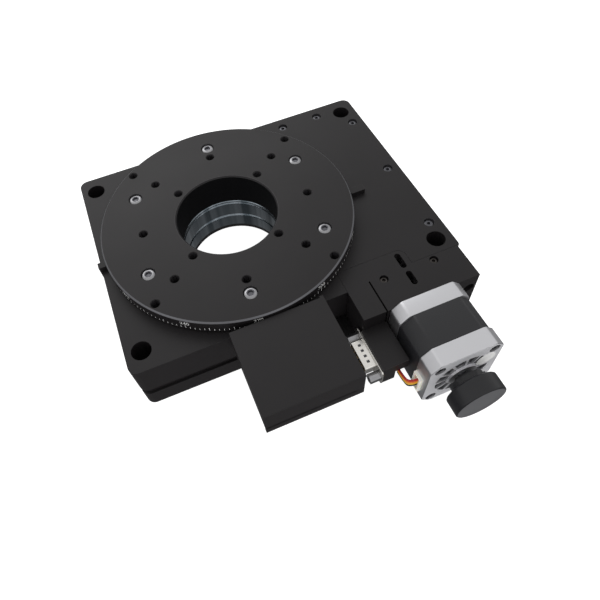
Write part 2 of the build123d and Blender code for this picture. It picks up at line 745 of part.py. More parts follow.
def motor_stack():
    """Pile of steel sheets, with larger cut corners than the end caps."""
    solid = motor_slice(STACK_Y0, FLANGE_Y0, MOTOR_SIZE - 2 * STACK_IN, STACK_CHAMFER)
    for x, z in motor_corners(MOTOR_HOLES):
        solid -= rod(BOLT_R, STACK_Y0, FLANGE_Y0, x, z)
    return solid - rod(ROTOR_R + ROTOR_GAP, STACK_Y0, FLANGE_Y0)


def motor_rear_cap():
    solid = motor_slice(CAP_Y0, STACK_Y0)
    solid += rod(CAP_BOSS_R, BOSS_Y0, CAP_Y0)
    solid -= rod(CAVITY_R, STACK_Y0 - CAVITY_L, STACK_Y0)
    solid -= rod(MOTOR_BRG_R, STACK_Y0 - CAVITY_L - MOTOR_BRG_W, STACK_Y0)
    solid -= rod(MOTOR_BRG_HOLE_R, BOSS_Y0, STACK_Y0)
    for x, z in motor_corners(MOTOR_HOLES):
        solid -= rod(BOLT_HEAD_R + HEAD_CLEAR, CAP_Y0, CAP_Y0 + BOLT_SINK, x, z)
        solid -= rod(BOLT_R, CAP_Y0, STACK_Y0, x, z)
    solid -= block(CONN_X0, CONN_X1, CONN_Y0, CONN_Y1, CONN_Z0, CONN_Z1)
    return solid


def motor_through_bolts():
    """Four long screws that hold the motor together and to its block."""
    bolts = []
    bolt_l = BLOCK_Y0 - CAP_Y0 - BOLT_SINK
    for x, z in motor_corners(MOTOR_HOLES):
        reach = MOTOR_THREAD - SET_SINK if z < BASE_T else 0
        one = cap_screw(BOLT_R, bolt_l + reach, BOLT_HEAD_R, BOLT_HEAD_H, M3_HEX)
        bolts.append(Pos(x, CAP_Y0 + BOLT_TOP, z) * Rot(90, 0, 0) * one)
    return bolts


def motor_bearing_spans():
    front_y = FLANGE_Y0 + CAVITY_L
    rear_y = STACK_Y0 - CAVITY_L
    return ((front_y, front_y + MOTOR_BRG_W), (rear_y - MOTOR_BRG_W, rear_y))


def motor_bearing_outer_rings():
    return [tube(MOTOR_BRG_R, MOTOR_BRG_OUT_R, y0, y1) for y0, y1 in motor_bearing_spans()]


def lead_connector():
    """Plug housing in the side of the rear cap, with a recess that the leads come out of."""
    solid = block(CONN_X0, CONN_X1, CONN_Y0, CONN_Y1, CONN_Z0, CONN_Z1)
    return solid - block(CONN_X0, CONN_X0 + CONN_RECESS, CONN_Y0 + CONN_WALL, CONN_Y1 - CONN_WALL,
                         CONN_Z0 + CONN_WALL, CONN_Z1 - CONN_WALL)


def lead_route(k):
    """One motor lead: out of the connector, round in a small loop and back into the bracket."""
    z = CONN_Z0 + LEAD_FOOT + k * LEAD_PITCH
    y = (CONN_Y0 + CONN_Y1) / 2
    return [
        (CONN_X0 + CONN_RECESS, y, z),
        (CONN_X0 - 2.6, y, z),
        (CONN_X0 - 3.9 - 0.3 * k, y + 3.2, z - 0.8),
        (LEAD_HOLE_X, BRACKET_Y0 + 1.5, 14.6 + 1.3 * k),
    ]


def cord_tube(points, r):
    """Tube along straight runs joined by arcs as large as the runs allow."""
    vectors = [Vector(*p) for p in points]
    runs = [(b - a).length for a, b in zip(vectors, vectors[1:])]
    radii = []
    for a, b, c, r1, r2 in zip(vectors, vectors[1:], vectors[2:], runs, runs[1:]):
        turn = (b - a).get_angle(c - b)
        radii.append(0.45 * min(r1, r2) / tan(radians(turn / 2)))
    path = FilletPolyline(*points, radius=radii)
    section = Plane(origin=path @ 0, z_dir=path % 0) * Circle(r)
    solid = sweep(section, path=path)
    print("cord", [round(v, 2) for v in radii], round(path.length, 2),
          round(solid.volume / (pi * r * r * path.length), 4))
    return solid


def motor_leads():
    return [cord_tube(lead_route(k), LEAD_R) for k in range(LEAD_N)]


# ---------------------------------------------------------------- drive body
def worm_thread():
    """One helical thread about Z, from z = 0, later laid along the worm's axis."""
    half_tip = THREAD_T / 2 - ADDENDUM * tan(radians(FLANK_DEG))
    root = DEDENDUM + THREAD_BURY
    half_root = THREAD_T / 2 + root * tan(radians(FLANK_DEG))
    coil = Helix(pitch=LEAD, height=LEAD * WORM_TURNS, radius=WORM_PITCH_R)
    at_start = Plane(origin=coil @ 0, x_dir=(1, 0, 0), z_dir=coil % 0)
    points = [(-root, -half_root), (ADDENDUM, -half_tip), (ADDENDUM, half_tip), (-root, half_root)]
    profile = at_start * make_face(Polyline(*points, close=True))
    return sweep(profile, path=coil, is_frenet=True)


def worm_shaft():
    """Shaft, bearing collars, core and thread in one piece."""
    half_l = LEAD * WORM_TURNS / 2
    thread = Pos(WORM_X, -half_l, WORM_Z) * Rot(-90, 0, 0) * worm_thread()
    core = rod(WORM_ROOT_R, -half_l - WORM_END, half_l + WORM_END)
    collars = rod(WORM_COLLAR_R, -SEAT_Y, SEAT_Y)
    shaft = rod(SHAFT_R, WORM_SHAFT_Y0, WORM_SHAFT_Y1)
    return core + thread + collars + shaft


def worm_bearing_inner_rings():
    return [tube(BRG608_IN_R, SHAFT_R, y0, y1) for y0, y1 in worm_bearing_spans()]


def worm_lock_nut():
    y1 = -SEAT_Y - BRG608_W
    return tube(WORM_NUT_R, SHAFT_R, y1 - WORM_NUT_L, y1)


def tongue_bar(y0, y1, half_x, half_z):
    """Straight bar across the drive axis, for a tongue or for its groove."""
    return block(WORM_X - half_x, WORM_X + half_x, y0, y1, WORM_Z - half_z, WORM_Z + half_z)


def coupling_hub(span, bore_r, groove):
    y0, y1 = span
    solid = tube(COUPLING_R, bore_r, y0, y1) - groove
    middle = (y0 + y1) / 2
    screw_hole = Pos(WORM_X, middle, WORM_Z) * Cylinder(SET_R, COUPLING_R + 1, align=UP)
    return solid - screw_hole


def coupling_worm_hub():
    y0 = WORM_HUB_Y[0]
    groove = tongue_bar(y0, y0 + TONGUE_H + FIT, COUPLING_R, TONGUE_W / 2 + FIT)
    return coupling_hub(WORM_HUB_Y, SHAFT_R, groove)


def coupling_motor_hub():
    y1 = MOTOR_HUB_Y[1]
    groove = tongue_bar(y1 - TONGUE_H - FIT, y1, TONGUE_W / 2 + FIT, COUPLING_R)
    return coupling_hub(MOTOR_HUB_Y, MOTOR_SHAFT_R, groove)


def coupling_disc():
    """Floating disc with a tongue on each face, at right angles to each other."""
    y0 = MOTOR_HUB_Y[1]
    y1 = WORM_HUB_Y[0]
    envelope = rod(COUPLING_R, y0 - TONGUE_H, y1 + TONGUE_H)
    front = tongue_bar(y0 - TONGUE_H, y0, TONGUE_W / 2, COUPLING_R) & envelope
    back = tongue_bar(y1, y1 + TONGUE_H, COUPLING_R, TONGUE_W / 2) & envelope
    solid = rod(COUPLING_R, y0, y1) + front + back
    return solid - rod(SHAFT_R + DISC_HOLE_CLEAR, y0 - TONGUE_H, y1 + TONGUE_H)


def coupling_screws():
    screws = []
    for span, bore_r in ((WORM_HUB_Y, SHAFT_R), (MOTOR_HUB_Y, MOTOR_SHAFT_R)):
        middle = (span[0] + span[1]) / 2
        screws.append(Pos(WORM_X, middle, WORM_Z) * set_screw(bore_r, COUPLING_R))
    return screws


def motor_shaft():
    return rod(MOTOR_SHAFT_R, MOTOR_SHAFT_Y0, MOTOR_SHAFT_Y1)


def motor_rotor():
    """Two toothed cups with the magnet between them."""
    solid = tube(ROTOR_R, MOTOR_SHAFT_R, STACK_Y0 + ROTOR_SHORT, FLANGE_Y0 - ROTOR_SHORT)
    middle = (STACK_Y0 + FLANGE_Y0) / 2
    return solid - tube(ROTOR_R, ROTOR_R - ROTOR_GROOVE, middle - ROTOR_GROOVE, middle + ROTOR_GROOVE)


def motor_bearing_inner_rings():
    return [tube(MOTOR_BRG_IN_R, MOTOR_SHAFT_R, y0, y1) for y0, y1 in motor_bearing_spans()]


def hand_knob():
    """Turned knob: a wide grip, a stepped hub and a nose towards the motor."""
    solid = rod(KNOB_R, KNOB_Y0, KNOB_Y1)
    solid = chamfer(solid.edges().filter_by(GeomType.CIRCLE), KNOB_EDGE)
    solid += rod(HUB_R, KNOB_Y1, HUB_Y1)
    solid += rod(NOSE_R, HUB_Y1, NOSE_Y1)
    solid -= rod(MOTOR_SHAFT_R, MOTOR_SHAFT_Y0, NOSE_Y1)
    middle = (KNOB_Y1 + HUB_Y1) / 2
    return solid - Pos(WORM_X, middle, WORM_Z) * Cylinder(SET_R, HUB_R + 1, align=UP)


def knob_set_screw():
    middle = (KNOB_Y1 + HUB_Y1) / 2
    return Pos(WORM_X, middle, WORM_Z) * set_screw(MOTOR_SHAFT_R, HUB_R)


# ---------------------------------------------------------------- connector


def dsub_outline(width, height):
    """D shape: wider at the top by the slope of both ends."""
    lean = height * tan(radians(DSUB_SKEW))
    top = width / 2
    bottom = top - lean
    half = height / 2
    points = [(-bottom, -half), (bottom, -half), (top, half), (-top, half)]
    face = make_face(Polyline(*points, close=True))
    return fillet(face.vertices(), DSUB_CORNER)


def facing_minus_x(x):
    """Plane at x whose outward side is -X, local x along -Y and local y up."""
    return Plane(origin=(x, DSUB_Y, DSUB_Z), x_dir=(0, -1, 0), z_dir=(-1, 0, 0))


def jack_places():
    return (DSUB_Y - JACK_SPACING / 2, DSUB_Y + JACK_SPACING / 2)


def jack_stud_hole(y):
    """Cutter for the stud of a jack post, from the connector's flange inwards."""
    hole = Cylinder(JACK_STUD_R, DSUB_FLANGE_T + JACK_STUD_L, align=UP)
    return Pos(BRACKET_X0 - DSUB_FLANGE_T, y, DSUB_Z) * Rot(0, 90, 0) * hole


def connector_bracket():
    """Block that carries the connector; the motor leads enter it at a notch."""
    solid = block(BRACKET_X0, BRACKET_X1, BRACKET_Y0, BLOCK_Y0, BRACKET_Z0, BRACKET_Z1)
    solid -= block(BRACKET_X0, BRACKET_X1 - BRACKET_BACK, BRACKET_Y0 + BRACKET_END, BLOCK_Y0 - BRACKET_WALL,
                   BRACKET_Z0 + BRACKET_WALL, BRACKET_Z1 - BRACKET_WALL)
    solid -= block(LEAD_HOLE_X - NOTCH_W, BRACKET_X1, BRACKET_Y0, BRACKET_Y0 + BRACKET_END,
                   BRACKET_Z0, BRACKET_Z0 + NOTCH_H)
    for y in jack_places():
        solid -= jack_stud_hole(y)
    return solid


def dsub_shell():
    at_face = facing_minus_x(BRACKET_X0)
    outline = RectangleRounded(DSUB_FLANGE_W, DSUB_FLANGE_H, DSUB_FLANGE_R)
    flange = at_face * extrude(outline, DSUB_FLANGE_T)
    nose = at_face * extrude(dsub_outline(DSUB_SHELL_W, DSUB_SHELL_H), DSUB_SHELL_L)
    hollow = at_face * extrude(dsub_outline(DSUB_SHELL_W - 2 * SHELL_T, DSUB_SHELL_H - 2 * SHELL_T),
                               DSUB_SHELL_L)
    solid = flange + nose - hollow
    for y in jack_places():
        solid -= jack_stud_hole(y)
    return solid


def dsub_insert():
    at_face = facing_minus_x(BRACKET_X0)
    outline = dsub_outline(DSUB_SHELL_W - 2 * SHELL_T, DSUB_SHELL_H - 2 * SHELL_T)
    solid = at_face * extrude(outline, INSERT_L)
    back = Rectangle(INSERT_BACK_W, INSERT_BACK_H)
    solid += facing_minus_x(BRACKET_X0 + INSERT_BACK_L) * extrude(back, INSERT_BACK_L)
    for pin in dsub_pins():
        solid -= pin
    return solid


def pin_places():
    places = []
    for n, dz in ((5, PIN_ROWS / 2), (4, -PIN_ROWS / 2)):
        for k in range(n):
            places.append((DSUB_Y + (k - (n - 1) / 2) * PIN_PITCH, DSUB_Z + dz))
    return places


def dsub_pins():
    one = Rot(0, -90, 0) * Cylinder(PIN_R, PIN_BACK + PIN_FRONT, align=UP)
    return [Pos(BRACKET_X0 + PIN_BACK, y, z) * one for y, z in pin_places()]


def dsub_jackscrews():
    """Two hexagonal posts with a threaded hole each, and a stud through the flange."""
    posts = []
    stud_l = DSUB_FLANGE_T + JACK_STUD_L
    for y in jack_places():
        post = extrude(RegularPolygon(JACK_HEX / 2, 6, major_radius=False), JACK_POST_L)
        post -= Pos(0, 0, JACK_POST_L - JACK_THREAD_L) * Cylinder(JACK_THREAD_R, JACK_THREAD_L, align=UP)
        post += Cylinder(JACK_STUD_R, stud_l, align=DOWN)
        posts.append(Pos(BRACKET_X0 - DSUB_FLANGE_T, y, DSUB_Z) * Rot(0, -90, 0) * post)
    return posts


# ---------------------------------------------------------------- sensor box


def sensor_box_cover():
    """Lid of the box, cut back above the housing so the table turns past it."""
    outer = plate(BOX_X0, BOX_X1, BOX_Y0, Y_FRONT, BOX_INNER_Z, BOX_Z1, BOX_CORNER)
    inner = block(BOX_X0 + BOX_WALL, BOX_X1 - BOX_WALL, BOX_Y0 + BOX_WALL, BOX_BACK - BOX_WALL,
                  BOX_INNER_Z, BOX_Z1 - BOX_WALL)
    relief = block(BOX_X0, BOX_X1, BOX_BACK, -BOX_BACK, HOUSING_TOP - BOX_CLEAR, BOX_Z1)
    solid = outer - inner - relief
    for x, y in box_screw_places():
        solid += disc(BOX_BOSS_R, BOX_INNER_Z, BOX_Z1 - BOX_WALL, x, y)
        solid -= disc(M25_R, BOX_INNER_Z, BOX_Z0 + BOX_SCREW_L + TAP_RUNOUT, x, y)
    return solid


def box_screw_places():
    inset = BOX_WALL + BOX_BOSS_R - BOX_BOSS_IN
    return [(x, y) for x in (BOX_X0 + inset, BOX_X1 - inset) for y in (BOX_Y0 + inset, BOX_BACK - inset)]


def sensor_box_floor():
    solid = plate(BOX_X0, BOX_X1, BOX_Y0, Y_FRONT, BOX_Z0, BOX_INNER_Z, BOX_CORNER)
    for x, y in box_screw_places():
        solid -= disc(M25_R, BOX_Z0, BOX_INNER_Z, x, y)
    return solid


def sensor_box_screws():
    one = Rot(180, 0, 0) * cap_screw(M25_R, BOX_SCREW_L, M25_HEAD_R, M25_HEAD_H, M25_HEX)
    return [Pos(x, y, BOX_Z0 - M25_HEAD_H) * one for x, y in box_screw_places()]


def sensor_board():
    """Board on the box's floor, with a chip and a small plug."""
    x0, x1 = BOX_X0 + BOX_WALL + BOARD_IN, BOX_X1 - BOX_WALL - BOARD_IN
    y0, y1 = BOX_Y0 + BOX_WALL + BOARD_END, BOX_BACK - BOX_WALL - BOARD_END
    top = BOX_INNER_Z + BOARD_T
    x, y = (x0 + x1) / 2, (y0 + y1) / 2
    solid = block(x0, x1, y0, y1, BOX_INNER_Z, top)
    solid += block(x - CHIP_W, x, y - CHIP_W, y, top, top + CHIP_H)
    return solid + block(x1 - PLUG_W, x1, y1 - PLUG_L, y1, top, top + PLUG_H)


# ---------------------------------------------------------------- index blocks


def index_block_left():
    """Reading mark on the housing's side, with a leg down its face."""
    x1 = -TABLE_R - INDEX_GAP
    x0 = min(X_LEFT - INDEX_LEG_T, x1 - INDEX_TIP_L)
    y0, y1 = INDEX_Y - INDEX_W / 2, INDEX_Y + INDEX_W / 2
    tip = block(x0, x1, y0, y1, HOUSING_TOP, INDEX_TOP)
    return tip + block(x0, X_LEFT, y0, y1, HOUSING_TOP - INDEX_LEG_H, HOUSING_TOP)


def index_block_right():
    """Small block on the housing, close to the table's rim."""
    x0 = TABLE_R + STOP_GAP
    return plate(x0, x0 + STOP_L, STOP_Y - STOP_W / 2, STOP_Y + STOP_W / 2, HOUSING_TOP, INDEX_TOP, STOP_R)


# ---------------------------------------------------------------- write every piece
NODES = [
    rotary_table, table_screws, wheel_carrier, worm_wheel, wheel_screws, bearing_inner_ring,
    bearing_lock_ring, bearing_cage, bearing_balls, base_plate, base_plate_screws, pedestal_screws,
    stage_housing, housing_screws, bearing_pedestal, bearing_outer_ring, bearing_retainer,
    front_bearing_carrier, worm_bearing_outer_rings, motor_block, motor_block_screws,
    motor_front_flange, motor_stack, motor_rear_cap, motor_through_bolts, motor_bearing_outer_rings,
    lead_connector, motor_leads, worm_shaft, worm_bearing_inner_rings, worm_lock_nut,
    coupling_worm_hub, coupling_motor_hub, coupling_disc, coupling_screws, motor_shaft, motor_rotor,
    motor_bearing_inner_rings, hand_knob, knob_set_screw, connector_bracket, dsub_shell,
    dsub_insert, dsub_pins, dsub_jackscrews, sensor_box_cover, sensor_box_floor,
    sensor_box_screws, sensor_board, index_block_left, index_block_right,
]

os.makedirs("parts", exist_ok=True)
for make in NODES:
    shape = make()
    if isinstance(shape, list):
        shape = Compound(shape)
    export_step(shape, "parts/" + make.__name__ + ".step")
    print(make.__name__)
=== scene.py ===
# %% [markdown]
# # A motorised rotation stage, finished in Blender
# The object is an optics-bench rotation stage: a round table that turns on a ball bearing,
# driven by a worm, a stepper motor and a small hand knob. The construction already exists as
# solids at their real size, and this notebook dresses them. Big round pieces are spun again
# with many more steps, milled pieces get fine broken edges, and every surface gets a finish
# made from nodes. Everything is in metres, in the same frame as the solids.

# %% Load the fixed frame
import bpy
import bmesh
import json
from math import cos, hypot, pi, radians, sin, sqrt
from mathutils import Matrix, Vector


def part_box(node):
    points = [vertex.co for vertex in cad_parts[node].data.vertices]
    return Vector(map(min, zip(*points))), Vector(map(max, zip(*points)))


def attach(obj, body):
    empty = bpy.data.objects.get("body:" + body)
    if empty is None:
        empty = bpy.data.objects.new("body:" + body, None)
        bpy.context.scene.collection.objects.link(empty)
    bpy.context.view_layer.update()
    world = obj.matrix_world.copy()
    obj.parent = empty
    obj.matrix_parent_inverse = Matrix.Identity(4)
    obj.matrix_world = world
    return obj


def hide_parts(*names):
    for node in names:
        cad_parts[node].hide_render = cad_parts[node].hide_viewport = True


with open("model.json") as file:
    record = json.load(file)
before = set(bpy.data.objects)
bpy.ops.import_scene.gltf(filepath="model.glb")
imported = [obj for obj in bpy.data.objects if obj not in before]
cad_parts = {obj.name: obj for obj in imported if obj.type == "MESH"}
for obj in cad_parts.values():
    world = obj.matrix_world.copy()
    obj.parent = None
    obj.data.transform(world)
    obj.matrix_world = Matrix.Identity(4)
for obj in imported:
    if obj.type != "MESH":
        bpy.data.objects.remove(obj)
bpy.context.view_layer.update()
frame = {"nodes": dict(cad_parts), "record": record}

# %% [markdown]
# ## Sizes
# Lengths are written in millimetres, because that is how such a part is drawn, and turned
# into metres in one place. A height that a solid already has is read from the solid, so a
# dressed piece can never drift away from the one it stands for.

# %% Named sizes
MM = 0.001
TABLE_R = 75.0
BORE_R = 30.0
NECK_R = 36.0
TABLE_TURN = radians(-6.35)
TAP_R = 2.5
SCREW_RING_R = 59.0
RIM_CHAMFER = 0.8
MOTOR_X = 79.5
MOTOR_Z = 22.0


def top_mm(node):
    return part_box(node)[1].z / MM


def foot_mm(node):
    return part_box(node)[0].z / MM


TABLE_TOP = top_mm("rotary_table")
TABLE_FOOT = foot_mm("rotary_table")
DISC_FOOT = TABLE_TOP - 9.0
print("table top at", round(TABLE_TOP, 2), "mm, neck down to", round(TABLE_FOOT, 2), "mm")

# %% [markdown]
# ## Camera
# The view is set by where the lens stands and by three turns: the compass direction, how far
# it looks down, and a slight roll. A tripod shot of a product usually has a little of all
# three. The shift moves the picture sideways without turning the camera, so upright edges
# keep their slant.

# %% Place the camera
CAMERA_PLACE = Vector((-35.4, -214.2, 285.6)) * MM
LOOK_AZIMUTH = radians(-16.83)
LOOK_DOWN = radians(54.83)
ROLL = radians(-6.52)
LENS = 32.29
SHIFT = (0.031, -0.045)

forward = Vector((-sin(LOOK_AZIMUTH) * cos(LOOK_DOWN),
                  cos(LOOK_AZIMUTH) * cos(LOOK_DOWN), -sin(LOOK_DOWN)))
level = forward.cross(Vector((0, 0, 1))).normalized()
upright = level.cross(forward)
right = level * cos(ROLL) + upright * sin(ROLL)
up = right.cross(forward)
camera_data = bpy.data.cameras.new("camera")
camera_data.sensor_width = 36.0
camera_data.lens = LENS
camera_data.shift_x, camera_data.shift_y = SHIFT
camera_data.clip_start = 0.01
camera = bpy.data.objects.new("camera", camera_data)
turn = Matrix((right, up, -forward)).transposed()
camera.matrix_world = Matrix.Translation(CAMERA_PLACE) @ turn.to_4x4()
bpy.context.scene.collection.objects.link(camera)
bpy.context.scene.camera = camera
print("camera", [round(v, 3) for v in camera.location])

# %% [markdown]
# ## Floor and light
# Black anodised aluminium hardly shows its own colour: what the eye reads is the reflection
# of the room. A pale floor, a bright even surround and three large soft panels give the long,
# quiet gradients that tell a satin black surface from a painted one. Hard spotlights would
# only leave dots. The panel behind the stage is the strongest: it stands where the tops
# mirror it towards the camera, and the other two only open up the shaded sides.

# %% Floor, surround and panels
scene = bpy.context.scene
scene.view_settings.view_transform = "Standard"
scene.view_settings.look = "None"

SKY = 0.80
GROUND = 0.16
world = bpy.data.worlds.new("surround")
world.use_nodes = True
world_nodes = world.node_tree.nodes
world_links = world.node_tree.links
heading = world_nodes.new("ShaderNodeTexCoord")
parts = world_nodes.new("ShaderNodeSeparateXYZ")
rise = world_nodes.new("ShaderNodeMapRange")
rise.interpolation_type = "SMOOTHSTEP"
for name, value in (("From Min", -0.35), ("From Max", 0.15), ("To Min", GROUND), ("To Max", SKY)):
    rise.inputs[name].default_value = value
world_links.new(heading.outputs["Generated"], parts.inputs["Vector"])
world_links.new(parts.outputs["Z"], rise.inputs["Value"])
world_links.new(rise.outputs["Result"], world_nodes["Background"].inputs["Strength"])
world_nodes["Background"].inputs["Color"].default_value = (1.0, 1.0, 1.0, 1.0)
scene.world = world

FLOOR_HALF = 3.0
FLOOR_BELOW = 0.0002
floor_mesh = bpy.data.meshes.new("floor")
floor_corners = [(-FLOOR_HALF, -FLOOR_HALF, 0), (FLOOR_HALF, -FLOOR_HALF, 0),
                 (FLOOR_HALF, FLOOR_HALF, 0), (-FLOOR_HALF, FLOOR_HALF, 0)]
floor_mesh.from_pydata(floor_corners, [], [(0, 1, 2, 3)])
floor = bpy.data.objects.new("floor", floor_mesh)
floor.location.z = -FLOOR_BELOW
floor.visible_glossy = False
scene.collection.objects.link(floor)


def panel(name, place, aim, size, power):
    """A large soft light looking at a point of the object."""
    data = bpy.data.lights.new(name, "AREA")
    data.shape = "RECTANGLE"
    data.size, data.size_y = size
    data.energy = power
    lamp = bpy.data.objects.new(name, data)
    lamp.location = place
    lamp.rotation_euler = (Vector(aim) - Vector(place)).to_track_quat("-Z", "Y").to_euler()
    scene.collection.objects.link(lamp)


panel("back_panel", place=(-0.08, 0.86, 0.75), aim=(0.02, 0.0, 0.03), size=(0.9, 0.6), power=2.8)
panel("left_panel", place=(-0.9, -0.35, 0.55), aim=(0.02, -0.03, 0.03), size=(0.6, 0.6), power=0.4)
panel("front_panel", place=(0.25, -1.0, 0.7), aim=(0.02, -0.05, 0.03), size=(0.7, 0.5), power=0.3)

# %% [markdown]
# ## How a finish is built
# Every finish starts from one Principled shader. Colour, metal and gloss that are the same
# everywhere are set straight on its sockets. What varies is added as nodes: a broad noise
# makes the gloss drift a little across a milled face, and a very fine noise is the blasted
# grain that anodising leaves. A paint program could do this with pictures, but nodes have no
# resolution, so they stay sharp on a 150 mm table and on a 3 mm screw alike.

# %% Shaders, nodes and noise
finishes = {}


def socket(shader, name, value):
    shader.inputs[name].default_value = value


def shader_of(material):
    return material.node_tree.nodes["Principled BSDF"]


def new_finish(slot, colour, metallic, roughness, specular=0.5):
    material = bpy.data.materials.new(slot)
    material.use_nodes = True
    shader = material.node_tree.nodes["Principled BSDF"]
    socket(shader, "Base Color", (*colour, 1.0))
    socket(shader, "Metallic", metallic)
    socket(shader, "Roughness", roughness)
    socket(shader, "Specular IOR Level", specular)
    finishes[slot] = material
    return material


def add_node(material, kind, **values):
    node = material.node_tree.nodes.new(kind)
    for key, value in values.items():
        if key in node.inputs:
            node.inputs[key].default_value = value
        else:
            setattr(node, key, value)
    return node


def object_noise(material, scale, detail=3.0, stretch=(1.0, 1.0, 1.0)):
    """Noise in the piece's own coordinates, so it stays on the piece when it moves."""
    coords = add_node(material, "ShaderNodeTexCoord")
    mapping = add_node(material, "ShaderNodeMapping")
    mapping.inputs["Scale"].default_value = stretch
    noise = add_node(material, "ShaderNodeTexNoise", Scale=scale, Detail=detail)
    links = material.node_tree.links
    links.new(coords.outputs["Object"], mapping.inputs["Vector"])
    links.new(mapping.outputs["Vector"], noise.inputs["Vector"])
    return noise


def spread(material, source, low, high, target):
    """Maps a 0..1 value onto a range and feeds it to a shader socket."""
    ranger = add_node(material, "ShaderNodeMapRange")
    ranger.inputs["To Min"].default_value = low
    ranger.inputs["To Max"].default_value = high
    material.node_tree.links.new(source, ranger.inputs["Value"])
    material.node_tree.links.new(ranger.outputs["Result"], target)


print("shader sockets are set by name, noise is read in the piece's own coordinates")

# %% [markdown]
# ### Four ways to vary a finish
# Gloss lets the roughness wander, grain adds a fine bump, the colour drifts and turns paler
# on broken edges as a painted highlight, and painted reflection streaks follow the axis of a
# bore. Each takes a material and a few numbers, so a finish further down is only a line or two.

# %% Gloss, grain, drifting tone with a painted edge highlight, and painted reflection streaks
GRAIN_DEPTH = 0.00002
REFLECTION_STREAK_DARK_AT = 0.38
REFLECTION_STREAK_PALE_AT = 0.66


def gloss(material, scale, low, high):
    """Lets the roughness wander between two values across the piece."""
    noise = object_noise(material, scale)
    spread(material, noise.outputs["Fac"], low, high, shader_of(material).inputs["Roughness"])


def grain(material, scale, strength, stretch=(1.0, 1.0, 1.0)):
    """Fine bump, as left by blasting, turning or moulding."""
    noise = object_noise(material, scale, 2.0, stretch)
    bump = add_node(material, "ShaderNodeBump", Strength=strength, Distance=GRAIN_DEPTH)
    material.node_tree.links.new(noise.outputs["Fac"], bump.inputs["Height"])
    material.node_tree.links.new(bump.outputs["Normal"], shader_of(material).inputs["Normal"])


def tone_drift_and_edge_highlight(material, colour, edge_highlight_colour, tone_scale=30.0, tone=0.25):
    """Colour that drifts a little, with a painted highlight that makes it paler where a face is marked as an
    edge.
    """
    noise = object_noise(material, tone_scale, 4.0)
    drift = add_node(material, "ShaderNodeMix", data_type="RGBA")
    drift.inputs[6].default_value = (*[c * (1 - tone) for c in colour], 1.0)
    drift.inputs[7].default_value = (*[c * (1 + tone) for c in colour], 1.0)
    edges = add_node(material, "ShaderNodeAttribute", attribute_name="edge_highlight_mask")
    edge_highlight_mix = add_node(material, "ShaderNodeMix", data_type="RGBA")
    edge_highlight_mix.inputs[7].default_value = (*edge_highlight_colour, 1.0)
    links = material.node_tree.links
    links.new(noise.outputs["Fac"], drift.inputs[0])
    links.new(edges.outputs["Fac"], edge_highlight_mix.inputs[0])
    links.new(drift.outputs[2], edge_highlight_mix.inputs[6])
    links.new(edge_highlight_mix.outputs[2], shader_of(material).inputs["Base Color"])


def painted_reflection_streaks(material, dark, pale, scale):
    """Painted reflection: upright streaks on a turned bore, where noise drawn out along the axis blends two
    tones.
    """
    noise = object_noise(material, scale, 3.0, (1.0, 1.0, 0.02))
    tones = add_node(material, "ShaderNodeValToRGB")
    low, high = tones.color_ramp.elements
    low.position, low.color = REFLECTION_STREAK_DARK_AT, (*dark, 1.0)
    high.position, high.color = REFLECTION_STREAK_PALE_AT, (*pale, 1.0)
    links = material.node_tree.links
    links.new(noise.outputs["Fac"], tones.inputs["Fac"])
    links.new(tones.outputs["Color"], shader_of(material).inputs["Base Color"])


print("grain depth", GRAIN_DEPTH / MM, "mm")

# %% [markdown]
# ## Black anodised aluminium
# Nearly all of the stage is milled aluminium, bead-blasted and dyed black in the anodising
# bath. The dye never covers evenly: the surface is a very dark warm grey and the gloss wanders
# by a few percent. The broken edges get a painted highlight, a paler colour for the light they catch from all
# round.

# %% Anodised finish
ANODISED = (0.0098, 0.0084, 0.0092)
# painted highlight colour for the broken edges of the anodising
ANODISED_EDGE_HIGHLIGHT = (0.035, 0.033, 0.036)
anodised = new_finish("black_anodised", ANODISED, 0.0, 0.48, 0.30)
tone_drift_and_edge_highlight(anodised, ANODISED, ANODISED_EDGE_HIGHLIGHT)
gloss(anodised, 18.0, 0.42, 0.54)
grain(anodised, 2600.0, 0.10)
print("anodised finish made from", len(anodised.node_tree.nodes), "nodes")

# %% [markdown]
# ## Bare metals
# Aluminium, steel and bronze are all metallic shaders. What tells them apart is colour and
# the direction of the tool marks: turned pieces have rings, ground ones are nearly smooth and
# die-cast ones have a fine even texture. The steel of the bore also has upright streaks,
# which stand in for the mixed room that a hollow cylinder mirrors.

# %% Aluminium, steel, bronze, gold, tin and die-casting
satin = new_finish("satin_aluminium", (0.60, 0.60, 0.62), 1.0, 0.30)
grain(satin, 900.0, 0.12, stretch=(0.2, 0.2, 6.0))
gloss(satin, 60.0, 0.22, 0.36)

blued = new_finish("dark_steel", (0.19, 0.225, 0.26), 1.0, 0.26)
# painted reflection streaks, standing in for the room that the bore mirrors
painted_reflection_streaks(blued, (0.11, 0.135, 0.155), (0.60, 0.66, 0.72), 70.0)
grain(blued, 700.0, 0.10, stretch=(0.2, 0.2, 8.0))
gloss(blued, 40.0, 0.18, 0.34)

steel = new_finish("bearing_steel", (0.56, 0.57, 0.60), 1.0, 0.18)
gloss(steel, 90.0, 0.14, 0.24)

bronze = new_finish("wheel_bronze", (0.58, 0.36, 0.17), 1.0, 0.28)
gloss(bronze, 120.0, 0.22, 0.38)

gold = new_finish("gold_pin", (0.85, 0.60, 0.24), 1.0, 0.20)
gloss(gold, 900.0, 0.16, 0.28)

tin = new_finish("tin_plate", (0.78, 0.76, 0.72), 1.0, 0.22)
gloss(tin, 500.0, 0.16, 0.32)
grain(tin, 1500.0, 0.10)

cast = new_finish("motor_cap", (0.62, 0.62, 0.64), 1.0, 0.40)
gloss(cast, 150.0, 0.34, 0.48)
grain(cast, 2200.0, 0.22)
print("metals:", sorted(finishes))

